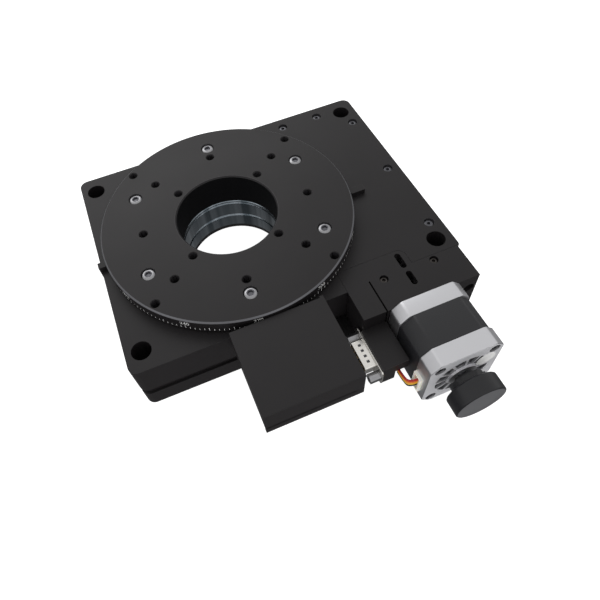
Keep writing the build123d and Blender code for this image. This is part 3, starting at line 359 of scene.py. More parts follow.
# %% [markdown]
# ### Four finishes for screws
# A plated head is bright, a blackened one nearly matt, and a worn one shows some steel; the
# worn finish is also the painted shade in the table screws' sockets. The sunk screws of the
# block get painted shade, dark but glossy. On a black stage the screws are the only small
# bright things, so these differences are easy to see.

# %% Plated, blackened, worn and painted-shade screws
bright = new_finish("bright_screw", (0.32, 0.32, 0.33), 1.0, 0.30)
gloss(bright, 400.0, 0.24, 0.40)
grain(bright, 4000.0, 0.08)

oxide = new_finish("black_screw", (0.022, 0.022, 0.024), 0.6, 0.34)
gloss(oxide, 500.0, 0.28, 0.42)

# worn screws, and the painted shade in the sockets of the table screws
socket_shade_and_worn = new_finish("socket_shade_and_worn_screw", (0.10, 0.10, 0.11), 0.9, 0.34)
gloss(socket_shade_and_worn, 500.0, 0.28, 0.42)

# painted shade for the sunk screws of the motor block
sunk_screw_shade = new_finish("painted_shade_screw", (0.05, 0.045, 0.042), 0.8, 0.26)
gloss(sunk_screw_shade, 500.0, 0.20, 0.34)
print("screw finishes:", [name for name in finishes if name.endswith("_screw")])

# %% [markdown]
# ## Plastics, lacquer and paper
# The motor's body is a pile of thin steel sheets under black lacquer, so its bump is a row of
# fine lines along the motor's axis. The lead housing is milky nylon with a little light going
# through it, and the round sticker is plain coated paper. A few finishes here are for single
# faces and paint light or shade: painted light on the cap's rear face, painted shade in its pockets,
# a painted reflection on the faced front of the knob, a painted highlight on the chamfer round
# the table and painted shade on the wall of its bore.

# %% Lacquered sheets, plastics, board and sticker
sheets = new_finish("motor_laminations", (0.011, 0.011, 0.013), 0.0, 0.38, 0.45)
line_coords = add_node(sheets, "ShaderNodeTexCoord")
line_wave = add_node(sheets, "ShaderNodeTexWave", bands_direction="Y", Scale=320.0)
line_bump = add_node(sheets, "ShaderNodeBump", Strength=0.35, Distance=0.00005)
sheets.node_tree.links.new(line_coords.outputs["Object"], line_wave.inputs["Vector"])
sheets.node_tree.links.new(line_wave.outputs["Fac"], line_bump.inputs["Height"])
sheets.node_tree.links.new(line_bump.outputs["Normal"], shader_of(sheets).inputs["Normal"])
gloss(sheets, 70.0, 0.30, 0.46)

knob_black = new_finish("knob_black", (0.006, 0.006, 0.008), 0.0, 0.30, 0.45)
grain(knob_black, 900.0, 0.16, stretch=(0.3, 12.0, 0.3))
gloss(knob_black, 80.0, 0.24, 0.38)

# painted light: a paler copy of the die-cast finish for the cap's rear face
cap_face_painted_light = new_finish("cap_face_painted_light", (0.84, 0.84, 0.87), 0.6, 0.44)
grain(cap_face_painted_light, 2200.0, 0.22)

# painted shade for the floors of pockets, seats and dimples
painted_recess_shade = new_finish("painted_recess_shade", (0.10, 0.10, 0.105), 1.0, 0.55)
grain(painted_recess_shade, 1500.0, 0.30)

# painted shade for the wall of the bore
bore_painted_shade = new_finish("bore_painted_shade", (0.003, 0.003, 0.0035), 0.0, 0.60, 0.10)
grain(bore_painted_shade, 2600.0, 0.08)

# painted reflection on the faced front of the knob
facing = new_finish("knob_face_painted_reflection", (0.13, 0.13, 0.14), 0.4, 0.30, 0.5)
grain(facing, 2000.0, 0.12)

# painted highlight for the chamfer round the table
new_finish("chamfer_painted_highlight", (0.13, 0.13, 0.14), 0.8, 0.30)

nylon = new_finish("white_plastic", (0.82, 0.80, 0.73), 0.0, 0.40, 0.5)
socket(shader_of(nylon), "Subsurface Weight", 0.15)
socket(shader_of(nylon), "Subsurface Scale", 0.0015)
grain(nylon, 1800.0, 0.12)

black_plastic = new_finish("black_plastic", (0.020, 0.020, 0.022), 0.0, 0.45, 0.5)
grain(black_plastic, 1500.0, 0.20)

board = new_finish("circuit_board", (0.012, 0.090, 0.045), 0.0, 0.25, 0.5)
grain(board, 700.0, 0.10)

insulation = new_finish("lead_insulation", (0.75, 0.30, 0.03), 0.0, 0.42, 0.45)
grain(insulation, 1500.0, 0.12)

paper = new_finish("sticker_paper", (0.86, 0.86, 0.85), 0.0, 0.35, 0.5)
grain(paper, 2500.0, 0.05)

scale_ink = new_finish("scale_ink", (0.75, 0.75, 0.74), 0.0, 0.55, 0.3)
grain(scale_ink, 5000.0, 0.10)

LEAD_COLOURS = {"black": (0.012, 0.012, 0.013), "yellow": (0.80, 0.50, 0.03),
                "orange": (0.78, 0.20, 0.02), "red": (0.45, 0.015, 0.02)}
for name, colour in LEAD_COLOURS.items():
    sleeve = new_finish("lead_" + name, colour, 0.0, 0.38, 0.5)
    grain(sleeve, 1500.0, 0.12)

pale_floor = new_finish("floor_paper", (0.60, 0.60, 0.60), 0.0, 0.75, 0.2)
socket(shader_of(pale_floor), "Emission Color", (1.0, 1.0, 1.0, 1.0))
socket(shader_of(pale_floor), "Emission Strength", 0.92)
grain(pale_floor, 60.0, 0.02)
floor.data.materials.append(pale_floor)
print("finishes:", len(finishes))

# %% [markdown]
# ### Every solid gets its finish
# The record names one slot for each solid. All of them are filled here, so a solid that no
# dressed piece stands for is finished as well.

# %% Fill the slots of the solids
for entry in frame["record"]["subparts"]:
    node = frame["nodes"][entry["node"]]
    node.data.materials.clear()
    node.data.materials.append(finishes[entry["material_slot"]])
slot_of = {entry["node"]: entry["material_slot"] for entry in frame["record"]["subparts"]}
members_of = frame["record"]["behaviour"]["bodies"]
body_of_node = {node: body for body, members in members_of.items() for node in members}
print("solids finished:", len(slot_of))

# %% [markdown]
# ## Three ways to make a piece
# A turned piece is a profile swept round an axis: the points go in as radius and height, and
# the number of steps decides how round it looks. A milled piece starts from its solid and
# gets its sharp edges broken with a bevel, which is what makes it catch light like metal
# instead of like cut paper. Small repeated things, such as screws, are one mesh function
# called once for each place, and joined into a single piece.

# %% Spin a piece and place it
SMOOTH_ANGLE = radians(32)


def link_mesh(name, bm):
    mesh = bpy.data.meshes.new(name)
    bm.normal_update()
    bm.to_mesh(mesh)
    bm.free()
    mesh.shade_smooth()
    mesh.set_sharp_from_angle(angle=SMOOTH_ANGLE)
    piece = bpy.data.objects.new(name, mesh)
    scene.collection.objects.link(piece)
    return piece


def place_piece(piece, node, finish=None, instead=True):
    """Gives a piece its finish and body, and lets it stand for the solid it dresses."""
    slot = finish or slot_of[node]
    piece.data.materials.clear()
    piece.data.materials.append(finishes[slot])
    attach(piece, body_of_node[node])
    if instead:
        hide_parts(node)
    return piece


def softened(profile, radius, steps):
    """Rounds every corner of a closed profile of (radius, height) points."""
    out = []
    count = len(profile)
    for i in range(count):
        before, here, after = (Vector(profile[(i + k) % count]) for k in (-1, 0, 1))
        to_before, to_after = (before - here), (after - here)
        cut = min(radius, 0.45 * to_before.length, 0.45 * to_after.length)
        start = here + to_before.normalized() * cut
        end = here + to_after.normalized() * cut
        for k in range(steps + 1):
            t = k / steps
            out.append(tuple(start * (1 - t) ** 2 + here * 2 * t * (1 - t) + end * t ** 2))
    return out


def spun(bm, profile, steps, matrix=None):
    """Sweeps a closed (radius, height) profile, in mm, round the Z axis into bm."""
    rings = []
    for k in range(steps):
        a = 2 * pi * k / steps
        rings.append([bm.verts.new((r * cos(a) * MM, r * sin(a) * MM, h * MM)) for r, h in profile])
    made = [v for ring in rings for v in ring]
    for k in range(steps):
        here, there = rings[k], rings[(k + 1) % steps]
        for i in range(len(profile)):
            j = (i + 1) % len(profile)
            if profile[i][0] <= 0 and profile[j][0] <= 0:
                continue
            bm.faces.new((here[i], here[j], there[j], there[i]))
    if any(r <= 0 for r, _ in profile):
        bmesh.ops.remove_doubles(bm, verts=made, dist=1e-7)
        made = [v for v in made if v.is_valid]
    if matrix is not None:
        bmesh.ops.transform(bm, matrix=matrix, verts=made)
    return made


def close_up(bm):
    bmesh.ops.recalc_face_normals(bm, faces=bm.faces)


def turned_piece(name, profile, steps, matrix=None):
    bm = bmesh.new()
    spun(bm, profile, steps, matrix)
    close_up(bm)
    return link_mesh(name, bm)


def standing(x, y, z):
    return Matrix.Translation(Vector((x, y, z)) * MM)


def along_motor(y, aside=0.0, above=0.0):
    """Matrix that lays a spun form along the motor: its height 0 at y, height up towards +Y."""
    return standing(MOTOR_X + aside, y, MOTOR_Z + above) @ Matrix.Rotation(-pi / 2, 4, "X")


print("spun pieces turn smooth below", round(SMOOTH_ANGLE * 180 / pi), "degrees")

# %% [markdown]
# ### Broken edges and even faces
# A bevel alone leaves a soft smudge on the flat faces beside it, because shading is blended
# from corner to corner. The cure is to set the direction of every corner by hand: flat faces
# keep their own, and the narrow bevel faces run into them. The same pass marks the narrow
# faces, and the painted edge highlight of the anodising reads that mark.

# %% Bevels and shading
IN_PLANE = cos(radians(0.4))
PATCH_RATIO = 6.0
EDGE_WIDTH = 1.2
EDGE_TURN = radians(10)
LONGER_THAN_SHORT = 1.02
BEVEL_FROM = radians(35)


def apply_modifiers(piece):
    graph = bpy.context.evaluated_depsgraph_get()
    mesh = bpy.data.meshes.new_from_object(piece.evaluated_get(graph))
    piece.modifiers.clear()
    old = piece.data
    piece.data = mesh
    bpy.data.meshes.remove(old)


def is_edge_face(face):
    """1.0 for the narrow faces that a bevel or a chamfer leaves along an edge, otherwise 0.0."""
    short = min(edge.calc_length() for edge in face.edges)
    if short > EDGE_WIDTH * MM or len(face.edges) > 4:
        return 0.0
    turns = [edge.calc_face_angle(0.0) for edge in face.edges
             if edge.calc_length() > LONGER_THAN_SHORT * short]
    return 1.0 if len(turns) > 1 and min(turns) > EDGE_TURN else 0.0


def even_shading(piece):
    """Gives each flat face its own exact shading, and lets a bevel beside it run into it.

    Faces that lie in one plane are gathered into patches first. Where a small face meets a
    patch at least PATCH_RATIO times its size, it borrows the patch's direction at that corner.
    """
    bm = bmesh.new()
    bm.from_mesh(piece.data)
    bm.faces.ensure_lookup_table()
    patch = [-1] * len(bm.faces)
    sizes, facings = [], []
    for seed in bm.faces:
        if patch[seed.index] >= 0:
            continue
        patch[seed.index] = len(sizes)
        waiting, size, facing = [seed], 0.0, Vector((0, 0, 0))
        while waiting:
            face = waiting.pop()
            area = face.calc_area()
            size += area
            facing += face.normal * area
            for edge in face.edges:
                for other in edge.link_faces:
                    if patch[other.index] < 0 and other.normal.dot(face.normal) > IN_PLANE:
                        patch[other.index] = len(sizes)
                        waiting.append(other)
        sizes.append(size)
        facings.append(facing.normalized())
    smooth_limit = cos(SMOOTH_ANGLE)
    corners = {}
    for vert in bm.verts:
        for face in vert.link_faces:
            near = [f for f in vert.link_faces if f.normal.dot(face.normal) > smooth_limit]
            if not near:
                corners[(face.index, vert.index)] = face.normal.copy()
                continue
            largest = max((patch[f.index] for f in near), key=lambda k: sizes[k])
            if largest == patch[face.index] or sizes[largest] > PATCH_RATIO * sizes[patch[face.index]]:
                corners[(face.index, vert.index)] = facings[largest]
            else:
                total = Vector((0, 0, 0))
                for f in near:
                    total += f.normal * f.calc_area()
                corners[(face.index, vert.index)] = total.normalized()
    narrow = [is_edge_face(face) for face in bm.faces]
    bm.free()
    mesh = piece.data
    # this mark feeds the painted highlight on broken edges
    edge_highlight_mark = mesh.attributes.new("edge_highlight_mask", "FLOAT", "FACE")
    edge_highlight_mark.data.foreach_set("value", narrow)
    mesh.shade_smooth()
    mesh.normals_split_custom_set([corners[(face.index, mesh.loops[k].vertex_index)]
                                   for face in mesh.polygons for k in face.loop_indices])


def break_edges(piece, width_mm, segments):
    """Bevels the sharp edges, the way a deburring pass does."""
    bevel = piece.modifiers.new("broken_edges", "BEVEL")
    bevel.width = width_mm * MM
    bevel.segments = segments
    bevel.limit_method = "ANGLE"
    bevel.angle_limit = BEVEL_FROM
    bevel.use_clamp_overlap = True
    bevel.miter_outer = "MITER_ARC"
    apply_modifiers(piece)
    even_shading(piece)


print("edges sharper than", round(BEVEL_FROM * 180 / pi), "degrees get broken")

# %% [markdown]
# ### Forms that are joined on or cut out
# Booleans work best on clean closed forms, so doubled points are welded and flat faces are
# joined after every step. A face can then be given another finish by its place on the piece.

# %% Booleans, dressed solids and marked faces
WELD = 1e-6
NEARLY_FLAT = radians(0.5)
FACES_IT = 0.9


def combined(piece, other, operation):
    """Joins a form onto the piece, or takes it out of it, with an exact boolean."""
    tool = link_mesh(piece.name + "_tool", other)
    boolean = piece.modifiers.new("form", "BOOLEAN")
    boolean.operation = operation
    boolean.solver = "EXACT"
    boolean.object = tool
    apply_modifiers(piece)
    bpy.data.objects.remove(tool)


def cut_away(piece, cutters):
    combined(piece, cutters, "DIFFERENCE")


def add_box(bm, middle, size):
    """Adds a box to bm, from its middle and its three sizes, in metres."""
    verts = bmesh.ops.create_cube(bm, size=1.0)["verts"]
    matrix = Matrix.Translation(middle) @ Matrix.Diagonal((*size, 1.0))
    bmesh.ops.transform(bm, matrix=matrix, verts=verts)


def box_form(low, high):
    """A plain box between two corners in mm, used only to join or to cut."""
    bm = bmesh.new()
    size = Vector(high) - Vector(low)
    middle = (Vector(high) + Vector(low)) / 2
    add_box(bm, middle * MM, size * MM)
    close_up(bm)
    return bm


def flat_faces_joined(bm):
    bmesh.ops.remove_doubles(bm, verts=bm.verts, dist=WELD)
    bmesh.ops.dissolve_limit(bm, angle_limit=NEARLY_FLAT, verts=bm.verts, edges=bm.edges)


def dressed(node, width_mm, segments=2, joined=(), removed=()):
    """A milled piece: the solid's own form, with flat faces joined and edges broken.

    Forms may be joined on or taken out first, one at a time, so that no boolean ever meets
    a tool whose own parts overlap.
    """
    bm = bmesh.new()
    bm.from_mesh(frame["nodes"][node].data)
    flat_faces_joined(bm)
    piece = link_mesh(node + "_dressed", bm)
    changes = [(form, "UNION") for form in joined] + [(form, "DIFFERENCE") for form in removed]
    for form, operation in changes:
        combined(piece, form, operation)
        bm = bmesh.new()
        bm.from_mesh(piece.data)
        flat_faces_joined(bm)
        bm.to_mesh(piece.data)
        bm.free()
    break_edges(piece, width_mm, segments)
    return place_piece(piece, node)


def mark_faces(piece, slots, which):
    """Adds finishes to a piece, and gives each face the one that which(face) names by number."""
    for name in slots:
        piece.data.materials.append(finishes[name])
    for face in piece.data.polygons:
        face.material_index = which(face)


def ring_places(radius, count, start=0.0):
    angles = [radians(start) + 2 * pi * k / count for k in range(count)]
    return [(radius * cos(a), radius * sin(a)) for a in angles]


print("flat within", round(NEARLY_FLAT * 180 / pi, 1), "degrees counts as one face")

# %% [markdown]
# ## The table
# The real table is a turned and anodised disc with a hollow neck under it. It is spun here
# from the same profile with 288 steps, so its 150 mm rim shows no corners, and the holes are
# then cut with one boolean: four patterns of tapped holes and six counterbores for the
# screws. A texture could fake the holes, but they would look flat as soon as the view is
# lowered. Two places then get their own finish, face by face: the chamfer round the top gets
# a painted highlight as the bright line, and the wall of the bore gets painted shade, a duller black, since
# hardly any light comes in.

# %% Table disc and its holes
TABLE_STEPS = 288
HOLE_STEPS = 32
HEAD_SEAT_R = 4.1
HEAD_SEAT_DEPTH = 2.3
HOLE_RIM = 0.35
SEAT_RIM = 0.2
SHOULDER_R = 40.0
OVERSHOOT = 1.0
CORNER_SOFT = 0.15
SQUARES = (50.0, 37.5, 25.0)
BLIND_SQUARE = 25.0
bearing_top = top_mm("bearing_inner_ring")
table_profile = [
    (BORE_R, TABLE_FOOT), (BORE_R, TABLE_TOP - RIM_CHAMFER), (BORE_R + RIM_CHAMFER, TABLE_TOP),
    (TABLE_R - RIM_CHAMFER, TABLE_TOP), (TABLE_R, TABLE_TOP - RIM_CHAMFER),
    (TABLE_R, DISC_FOOT + RIM_CHAMFER), (TABLE_R - RIM_CHAMFER, DISC_FOOT),
    (SHOULDER_R, DISC_FOOT), (SHOULDER_R, bearing_top), (NECK_R, bearing_top), (NECK_R, TABLE_FOOT),
]
table_turn = Matrix.Rotation(TABLE_TURN, 4, "Z")
table = turned_piece("table_disc", softened(table_profile, CORNER_SOFT, 2), TABLE_STEPS)


def hole_form(bm, x, y, radius, foot, top, rim):
    """A hole with a small countersunk rim, as a cutter that stands a little above the face."""
    wide, over = radius + rim, top + OVERSHOOT
    profile = [(0, foot), (radius, foot), (radius, top - rim), (wide, top), (wide, over), (0, over)]
    spun(bm, profile, HOLE_STEPS, Matrix.Translation((x * MM, y * MM, 0)))


holes = bmesh.new()
tapped = [(sx * half, sy * half) for half in SQUARES for sx in (1, -1) for sy in (1, -1)]
tapped += ring_places(SQUARES[0], 4)
screw_spots = ring_places(SCREW_RING_R, 6, 90)
for x, y in tapped:
    through = 0.0 if abs(x) == BLIND_SQUARE else OVERSHOOT
    hole_form(holes, x, y, TAP_R, DISC_FOOT - through, TABLE_TOP, HOLE_RIM)
for x, y in screw_spots:
    hole_form(holes, x, y, HEAD_SEAT_R, TABLE_TOP - HEAD_SEAT_DEPTH, TABLE_TOP, SEAT_RIM)
close_up(holes)
cut_away(table, holes)
table.data.transform(table_turn)
even_shading(table)
place_piece(table, "rotary_table")
TILT_WALL = 0.2
TILT_FLAT = 0.95
EDGE_ZONE = 1.0
BORE_ZONE = 0.3


def table_slot(face):
    """1 for the chamfer round the top (painted highlight), 2 for the wall of the bore (painted shade), 0 for
    the rest.
    """
    from_axis = hypot(face.center.x, face.center.y)
    if from_axis < (BORE_R + BORE_ZONE) * MM and abs(face.normal.z) < TILT_WALL:
        return 2
    on_edge = from_axis > (TABLE_R - EDGE_ZONE) * MM and face.center.z > (TABLE_TOP - EDGE_ZONE) * MM
    return 1 if on_edge and TILT_WALL < face.normal.z < TILT_FLAT else 0


mark_faces(table, ("chamfer_painted_highlight", "bore_painted_shade"), table_slot)
print("table faces", len(table.data.polygons))

# %% [markdown]
# ## Screws
# A cap screw is a spun head with a hexagonal socket. The socket is cut in by hand: the top
# ring of the head is joined to six corners, which go down as walls to a floor. That costs
# few faces and gives a true recess, where a dark hexagon painted on would look printed. The
# faces of the sockets then take painted shade, a darker finish than the plated heads round them.

# %% Screw maker
HEAD_STEPS = 36
DOME_STEPS = 6
DOME_REACH = 0.96


def socket_head(bm, matrix, head_r, dome, rim_drop, across, depth, shank_r, shank_length, mouth):
    """Head top at height 0. dome is how high the middle stands over the rim of the head,
    and mouth is how wide the bevel round the socket is."""
    corner_r = across / 2 / cos(pi / 6)
    steps = HEAD_STEPS
    shape = []
    for k in range(DOME_STEPS + 1):
        t = k / DOME_STEPS
        r = corner_r + mouth + (head_r - corner_r - mouth) * t
        fall = dome * (1 - sqrt(max(0.0, 1 - (DOME_REACH * r / head_r) ** 2)))
        shape.append((r, -fall))
    low = -dome - rim_drop
    foot = low - shank_length
    shape += [(head_r, -dome), (head_r, low), (shank_r, low), (shank_r, foot), (0.0, foot)]
    rings = []
    for k in range(steps):
        a = 2 * pi * k / steps
        rings.append([bm.verts.new(Vector((r * cos(a), r * sin(a), z)) * MM) for r, z in shape])
    made = [v for ring in rings for v in ring]
    for k in range(steps):
        here, there = rings[k], rings[(k + 1) % steps]
        for i in range(len(shape) - 1):
            bm.faces.new((here[i], there[i], there[i + 1], here[i + 1]))
    lip, floor_ring = [], []
    for k in range(steps):
        a = 2 * pi * k / steps
        sector = (a % (pi / 3)) - pi / 6
        r = across / 2 / cos(sector)
        lip.append(bm.verts.new(Vector((r * cos(a), r * sin(a), shape[0][1] - 0.5 * mouth)) * MM))
        floor_ring.append(bm.verts.new(Vector((r * cos(a), r * sin(a), -depth)) * MM))
    made += lip + floor_ring
    for k in range(steps):
        j = (k + 1) % steps
        bm.faces.new((lip[k], lip[j], rings[j][0], rings[k][0]))
        bm.faces.new((floor_ring[k], floor_ring[j], lip[j], lip[k]))
    bm.faces.new(floor_ring)
    bmesh.ops.remove_doubles(bm, verts=made, dist=1e-7)
    made = [v for v in made if v.is_valid]
    bmesh.ops.transform(bm, matrix=matrix, verts=made)


def screw_group(name, node, matrices, finish=None, **sizes):
    """All the screws of one kind as a single piece. The sizes are those of socket_head."""
    bm = bmesh.new()
    for matrix in matrices:
        socket_head(bm, matrix, **sizes)
    close_up(bm)
    return place_piece(link_mesh(name, bm), node, finish)


HEAD_BELOW = 0.1
SOCKET_REACH = 2.1
HEAD_DEPTH = 2.0
screw_places = [table_turn @ standing(x, y, TABLE_TOP - HEAD_BELOW) for x, y in screw_spots]
table_heads = screw_group(
    "table_screw_heads", "table_screws", screw_places, head_r=3.7, dome=1.0, rim_drop=1.15,
    across=3.0, depth=1.15, shank_r=2.0, shank_length=12.0, mouth=0.5)


def head_slot(face):
    """1 for the faces of a socket and the bevel round it (painted shade), 0 for the rest of the screw."""
    off_axis = min((face.center.xy - place.translation.xy).length for place in screw_places)
    in_socket = off_axis < SOCKET_REACH * MM and face.center.z > (TABLE_TOP - HEAD_DEPTH) * MM
    return 1 if in_socket else 0


# painted shade in the sockets
mark_faces(table_heads, ("socket_shade_and_worn_screw",), head_slot)
print("table screws:", len(screw_places))

# %% [markdown]
# ## The rings in the bore
# Looking down the bore, the black neck of the table ends at a dark steel clamp ring that
# turns with it, and below a narrow gap comes the fixed foot of the bearing. Both are turned,
# so both are spun. What the eye finds down there are the chamfers, about a millimetre wide,
# because they lean towards the light while the walls mirror the dark of the bore.

# %% Clamp ring and bearing foot
RING_STEPS = 240
RING_SOFT = 0.12
CLAMP_CHAMFER = 1.0
CLAMP_RELIEF = 0.5
CLAMP_LIP_R = NECK_R + 2.6
LIP_OVER = 1.0
GROOVE_OVER_MIDDLE = 4.6
GROOVE_DEPTH = 1.0
GROOVE_BELOW = 1.0
GROOVE_ABOVE = 0.4
FOOT_CHAMFER = 1.1
RACE_SEAT_R = 45.8
TOWER_IN_R = 50.0
TOWER_R = 52.0
FLANGE_R = 55.0
plate_top = top_mm("base_plate")
clamp_foot = foot_mm("bearing_lock_ring")
groove_z = (clamp_foot + TABLE_FOOT) / 2 + GROOVE_OVER_MIDDLE
clamp_profile = [
    (BORE_R + CLAMP_RELIEF, clamp_foot), (BORE_R, clamp_foot + CLAMP_RELIEF),
    (BORE_R, groove_z - GROOVE_BELOW), (BORE_R + GROOVE_DEPTH, groove_z), (BORE_R, groove_z + GROOVE_ABOVE),
    (BORE_R, TABLE_FOOT - CLAMP_CHAMFER), (BORE_R + CLAMP_CHAMFER, TABLE_FOOT), (NECK_R, TABLE_FOOT),
    (NECK_R, TABLE_FOOT + LIP_OVER), (CLAMP_LIP_R, TABLE_FOOT + LIP_OVER), (CLAMP_LIP_R, clamp_foot),
]
clamp = turned_piece("bearing_clamp_ring", softened(clamp_profile, RING_SOFT, 2), RING_STEPS)
place_piece(clamp, "bearing_lock_ring")

foot_low = foot_mm("bearing_pedestal")
tower_top = top_mm("bearing_pedestal")
race_foot = foot_mm("bearing_outer_ring")
foot_profile = [
    (BORE_R, foot_low), (BORE_R, plate_top - FOOT_CHAMFER), (BORE_R + FOOT_CHAMFER, plate_top),
    (RACE_SEAT_R, plate_top), (RACE_SEAT_R, race_foot), (TOWER_IN_R, race_foot), (TOWER_IN_R, tower_top),
    (TOWER_R, tower_top), (TOWER_R, plate_top), (FLANGE_R, plate_top), (FLANGE_R, foot_low),
]
bearing_foot = turned_piece("bearing_foot", softened(foot_profile, RING_SOFT, 2), RING_STEPS)
place_piece(bearing_foot, "bearing_pedestal")
print("bore rings from", round(foot_low, 2), "to", round(TABLE_FOOT, 2), "mm")

# %% [markdown]
# ## The milled black parts
# The housing, its base plate, the motor's block, the connector's bracket and the sensor box
# are all milled or bent from flat stock. Their solids already have the right form, so they
# keep it and only get their edges broken by a few tenths of a millimetre. Some get a little
# more. The base plate has a step behind the connector, which shuts out the light from below.
# The front wall of the sensor box reaches down past its floor, and its side wall stands out
# by a millimetre, so its floor is cut and widened to match. The housing gets a shallow well
# round each of its five screws. Every one of these is a plain form that a boolean joins on
# or takes out before the edges are broken, so no seam shows.

# %% Forms for the plate, the sensor box and the housing
STEP_LEFT = 30.0
STEP_FRONT = -86.0
PLATE_FRONT = -74.5
TONGUE_LEFT = 56.7
SKIRT_DEPTH = 3.5
SKIRT_T = 1.6
SIDE_EXTRA = 1.1
WALL_GAP = 0.1
OVERLAP = 1.0
WELL_R = 3.1
WELL_DEPTH = 1.9
WELL_RIM = 0.15
SCREWS_APART = 9.0
HOUSING_TOP = top_mm("stage_housing")


def centres_of(node, count):
    """Plan centres of a node's separate screws, found by grouping its points."""
    points = [v.co.xy / MM for v in frame["nodes"][node].data.vertices]
    groups = []
    for point in points:
        near = next((g for g in groups if (g[0] - point).length < SCREWS_APART), None)
        if near:
            near.append(point)
        else:
            groups.append([point])
    assert len(groups) == count, (node, len(groups))
    middles = []
    for group in groups:
        xs, ys = [p.x for p in group], [p.y for p in group]
        middles.append(((min(xs) + max(xs)) / 2, (min(ys) + max(ys)) / 2))
    return middles


box_low, box_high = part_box("sensor_box_cover")
box_left, box_right, box_front = box_low.x / MM, box_high.x / MM, box_low.y / MM
floor_foot, floor_upper = foot_mm("sensor_box_floor"), top_mm("sensor_box_floor")
wall_front = box_front + SKIRT_T
side_x, side_y, side_z = box_right + SIDE_EXTRA, box_high.y / MM, box_high.z / MM
step = box_form((STEP_LEFT, STEP_FRONT, 0.0), (TONGUE_LEFT + OVERLAP, PLATE_FRONT + OVERLAP, plate_top))
wall = box_form((box_right - OVERLAP, box_front, floor_upper), (side_x, side_y, side_z))
skirt = box_form((box_left, box_front, floor_foot - SKIRT_DEPTH), (side_x, wall_front, floor_upper + OVERLAP))
edge = box_form((box_right - OVERLAP, wall_front + WALL_GAP, floor_foot), (side_x, side_y, floor_upper))
room = box_form((box_left - OVERLAP, box_front - OVERLAP, floor_foot - OVERLAP),
                (box_right + OVERLAP, wall_front + WALL_GAP, floor_upper + OVERLAP))
seats = bmesh.new()
well_spots = centres_of("housing_screws", 5)
for x, y in well_spots:
    hole_form(seats, x, y, WELL_R, HOUSING_TOP - WELL_DEPTH, HOUSING_TOP, WELL_RIM)
close_up(seats)
print("wells round", len(well_spots), "screws, skirt", SKIRT_DEPTH, "mm deep")

# %% [markdown]
# Now the pieces themselves. Each row gives the solid, the width of its broken edge in
# millimetres, what is joined on and what is taken out.

# %% Break the edges of the milled parts
milled = (
    ("stage_housing", 0.35, (), (seats,)),
    ("base_plate", 0.35, (step,), ()),
    ("motor_block", 0.3, (), ()),
    ("connector_bracket", 0.25, (), ()),
    ("sensor_box_cover", 0.3, (wall, skirt), ()),
    ("sensor_box_floor", 0.2, (edge,), (room,)),
    ("index_block_left", 0.15, (), ()),
    ("index_block_right", 0.15, (), ()),
)
for node, width, joined, removed in milled:
    piece = dressed(node, width, 2, joined, removed)
    print(node, "faces", len(piece.data.polygons))

# %% [markdown]
# ## The scale on the rim
# A rotary table is read by the degree scale on its rim. The marks are cut and filled with
# white, and stand here as hair-thin white plates on the wall: one every two degrees, a longer
# one every ten, and plain figures every thirty. A ring with a striped texture would smear at
# this size, while thin plates stay sharp and turn with the table.

# %% Degree marks
MARK_LIFT = 0.03
MARK_WIDTH = 0.30
MARK_FOOT = DISC_FOOT + 1.6
MARK_SHORT = 1.5
MARK_LONG = 2.4
MARK_STEP = 2
LONG_EVERY = 5


def on_rim(angle, z):
    """Matrix that stands a flat thing on the rim wall: x along the rim, y up, z outwards."""
    along = Vector((-sin(angle), cos(angle), 0))
    out = Vector((cos(angle), sin(angle), 0))
    place = (out * (TABLE_R + MARK_LIFT) + Vector((0, 0, z))) * MM
    return Matrix.Translation(place) @ Matrix((along, Vector((0, 0, 1)), out)).transposed().to_4x4()


marks = bmesh.new()
side = MARK_WIDTH / 2
for k in range(360 // MARK_STEP):
    height = MARK_LONG if k % LONG_EVERY == 0 else MARK_SHORT
    matrix = on_rim(TABLE_TURN + radians(MARK_STEP * k), MARK_FOOT)
    corners = [(-side, 0), (side, 0), (side, height), (-side, height)]
    marks.faces.new([marks.verts.new(matrix @ (Vector((x, y, 0)) * MM)) for x, y in corners])
degree_marks = link_mesh("degree_marks", marks)
place_piece(degree_marks, "rotary_table", "scale_ink", instead=False)
print("marks:", len(degree_marks.data.polygons))

# %% [markdown]
# ### The figures
# A text curve gives the outline of each number. It is turned into a flat mesh, scaled from
# millimetres and stood on the rim wall above its long mark. The font's size is the height of
# its whole line, and a figure fills about seven tenths of that.

# %% Degree figures
FIGURE_HEIGHT = 2.5
FIGURE_FOOT = DISC_FOOT + 4.8
FIGURE_STEP = 30
CAPITAL_PART = 0.70


def figure_mesh(text):
    """Flat outline of a number, centred on its own x and standing on y = 0, in millimetres."""
    letters = bpy.data.curves.new("figure_" + text, "FONT")
    letters.body = text
    letters.size = FIGURE_HEIGHT / CAPITAL_PART
    letters.align_x = "CENTER"
    holder = bpy.data.objects.new("figure_" + text, letters)
    mesh = bpy.data.meshes.new_from_object(holder)
    bpy.data.objects.remove(holder)
    bpy.data.curves.remove(letters)
    return mesh


figures = bmesh.new()
for k in range(360 // FIGURE_STEP):
    flat = figure_mesh(str(FIGURE_STEP * k))
    first = len(figures.verts)
    figures.from_mesh(flat)
    figures.verts.ensure_lookup_table()
    matrix = on_rim(TABLE_TURN + radians(FIGURE_STEP * k), FIGURE_FOOT) @ Matrix.Scale(MM, 4)
    bmesh.ops.transform(figures, matrix=matrix, verts=figures.verts[first:])
    bpy.data.meshes.remove(flat)
degree_figures = link_mesh("degree_figures", figures)
place_piece(degree_figures, "rotary_table", "scale_ink", instead=False)
print("figures:", 360 // FIGURE_STEP, "with", len(degree_figures.data.polygons), "faces")

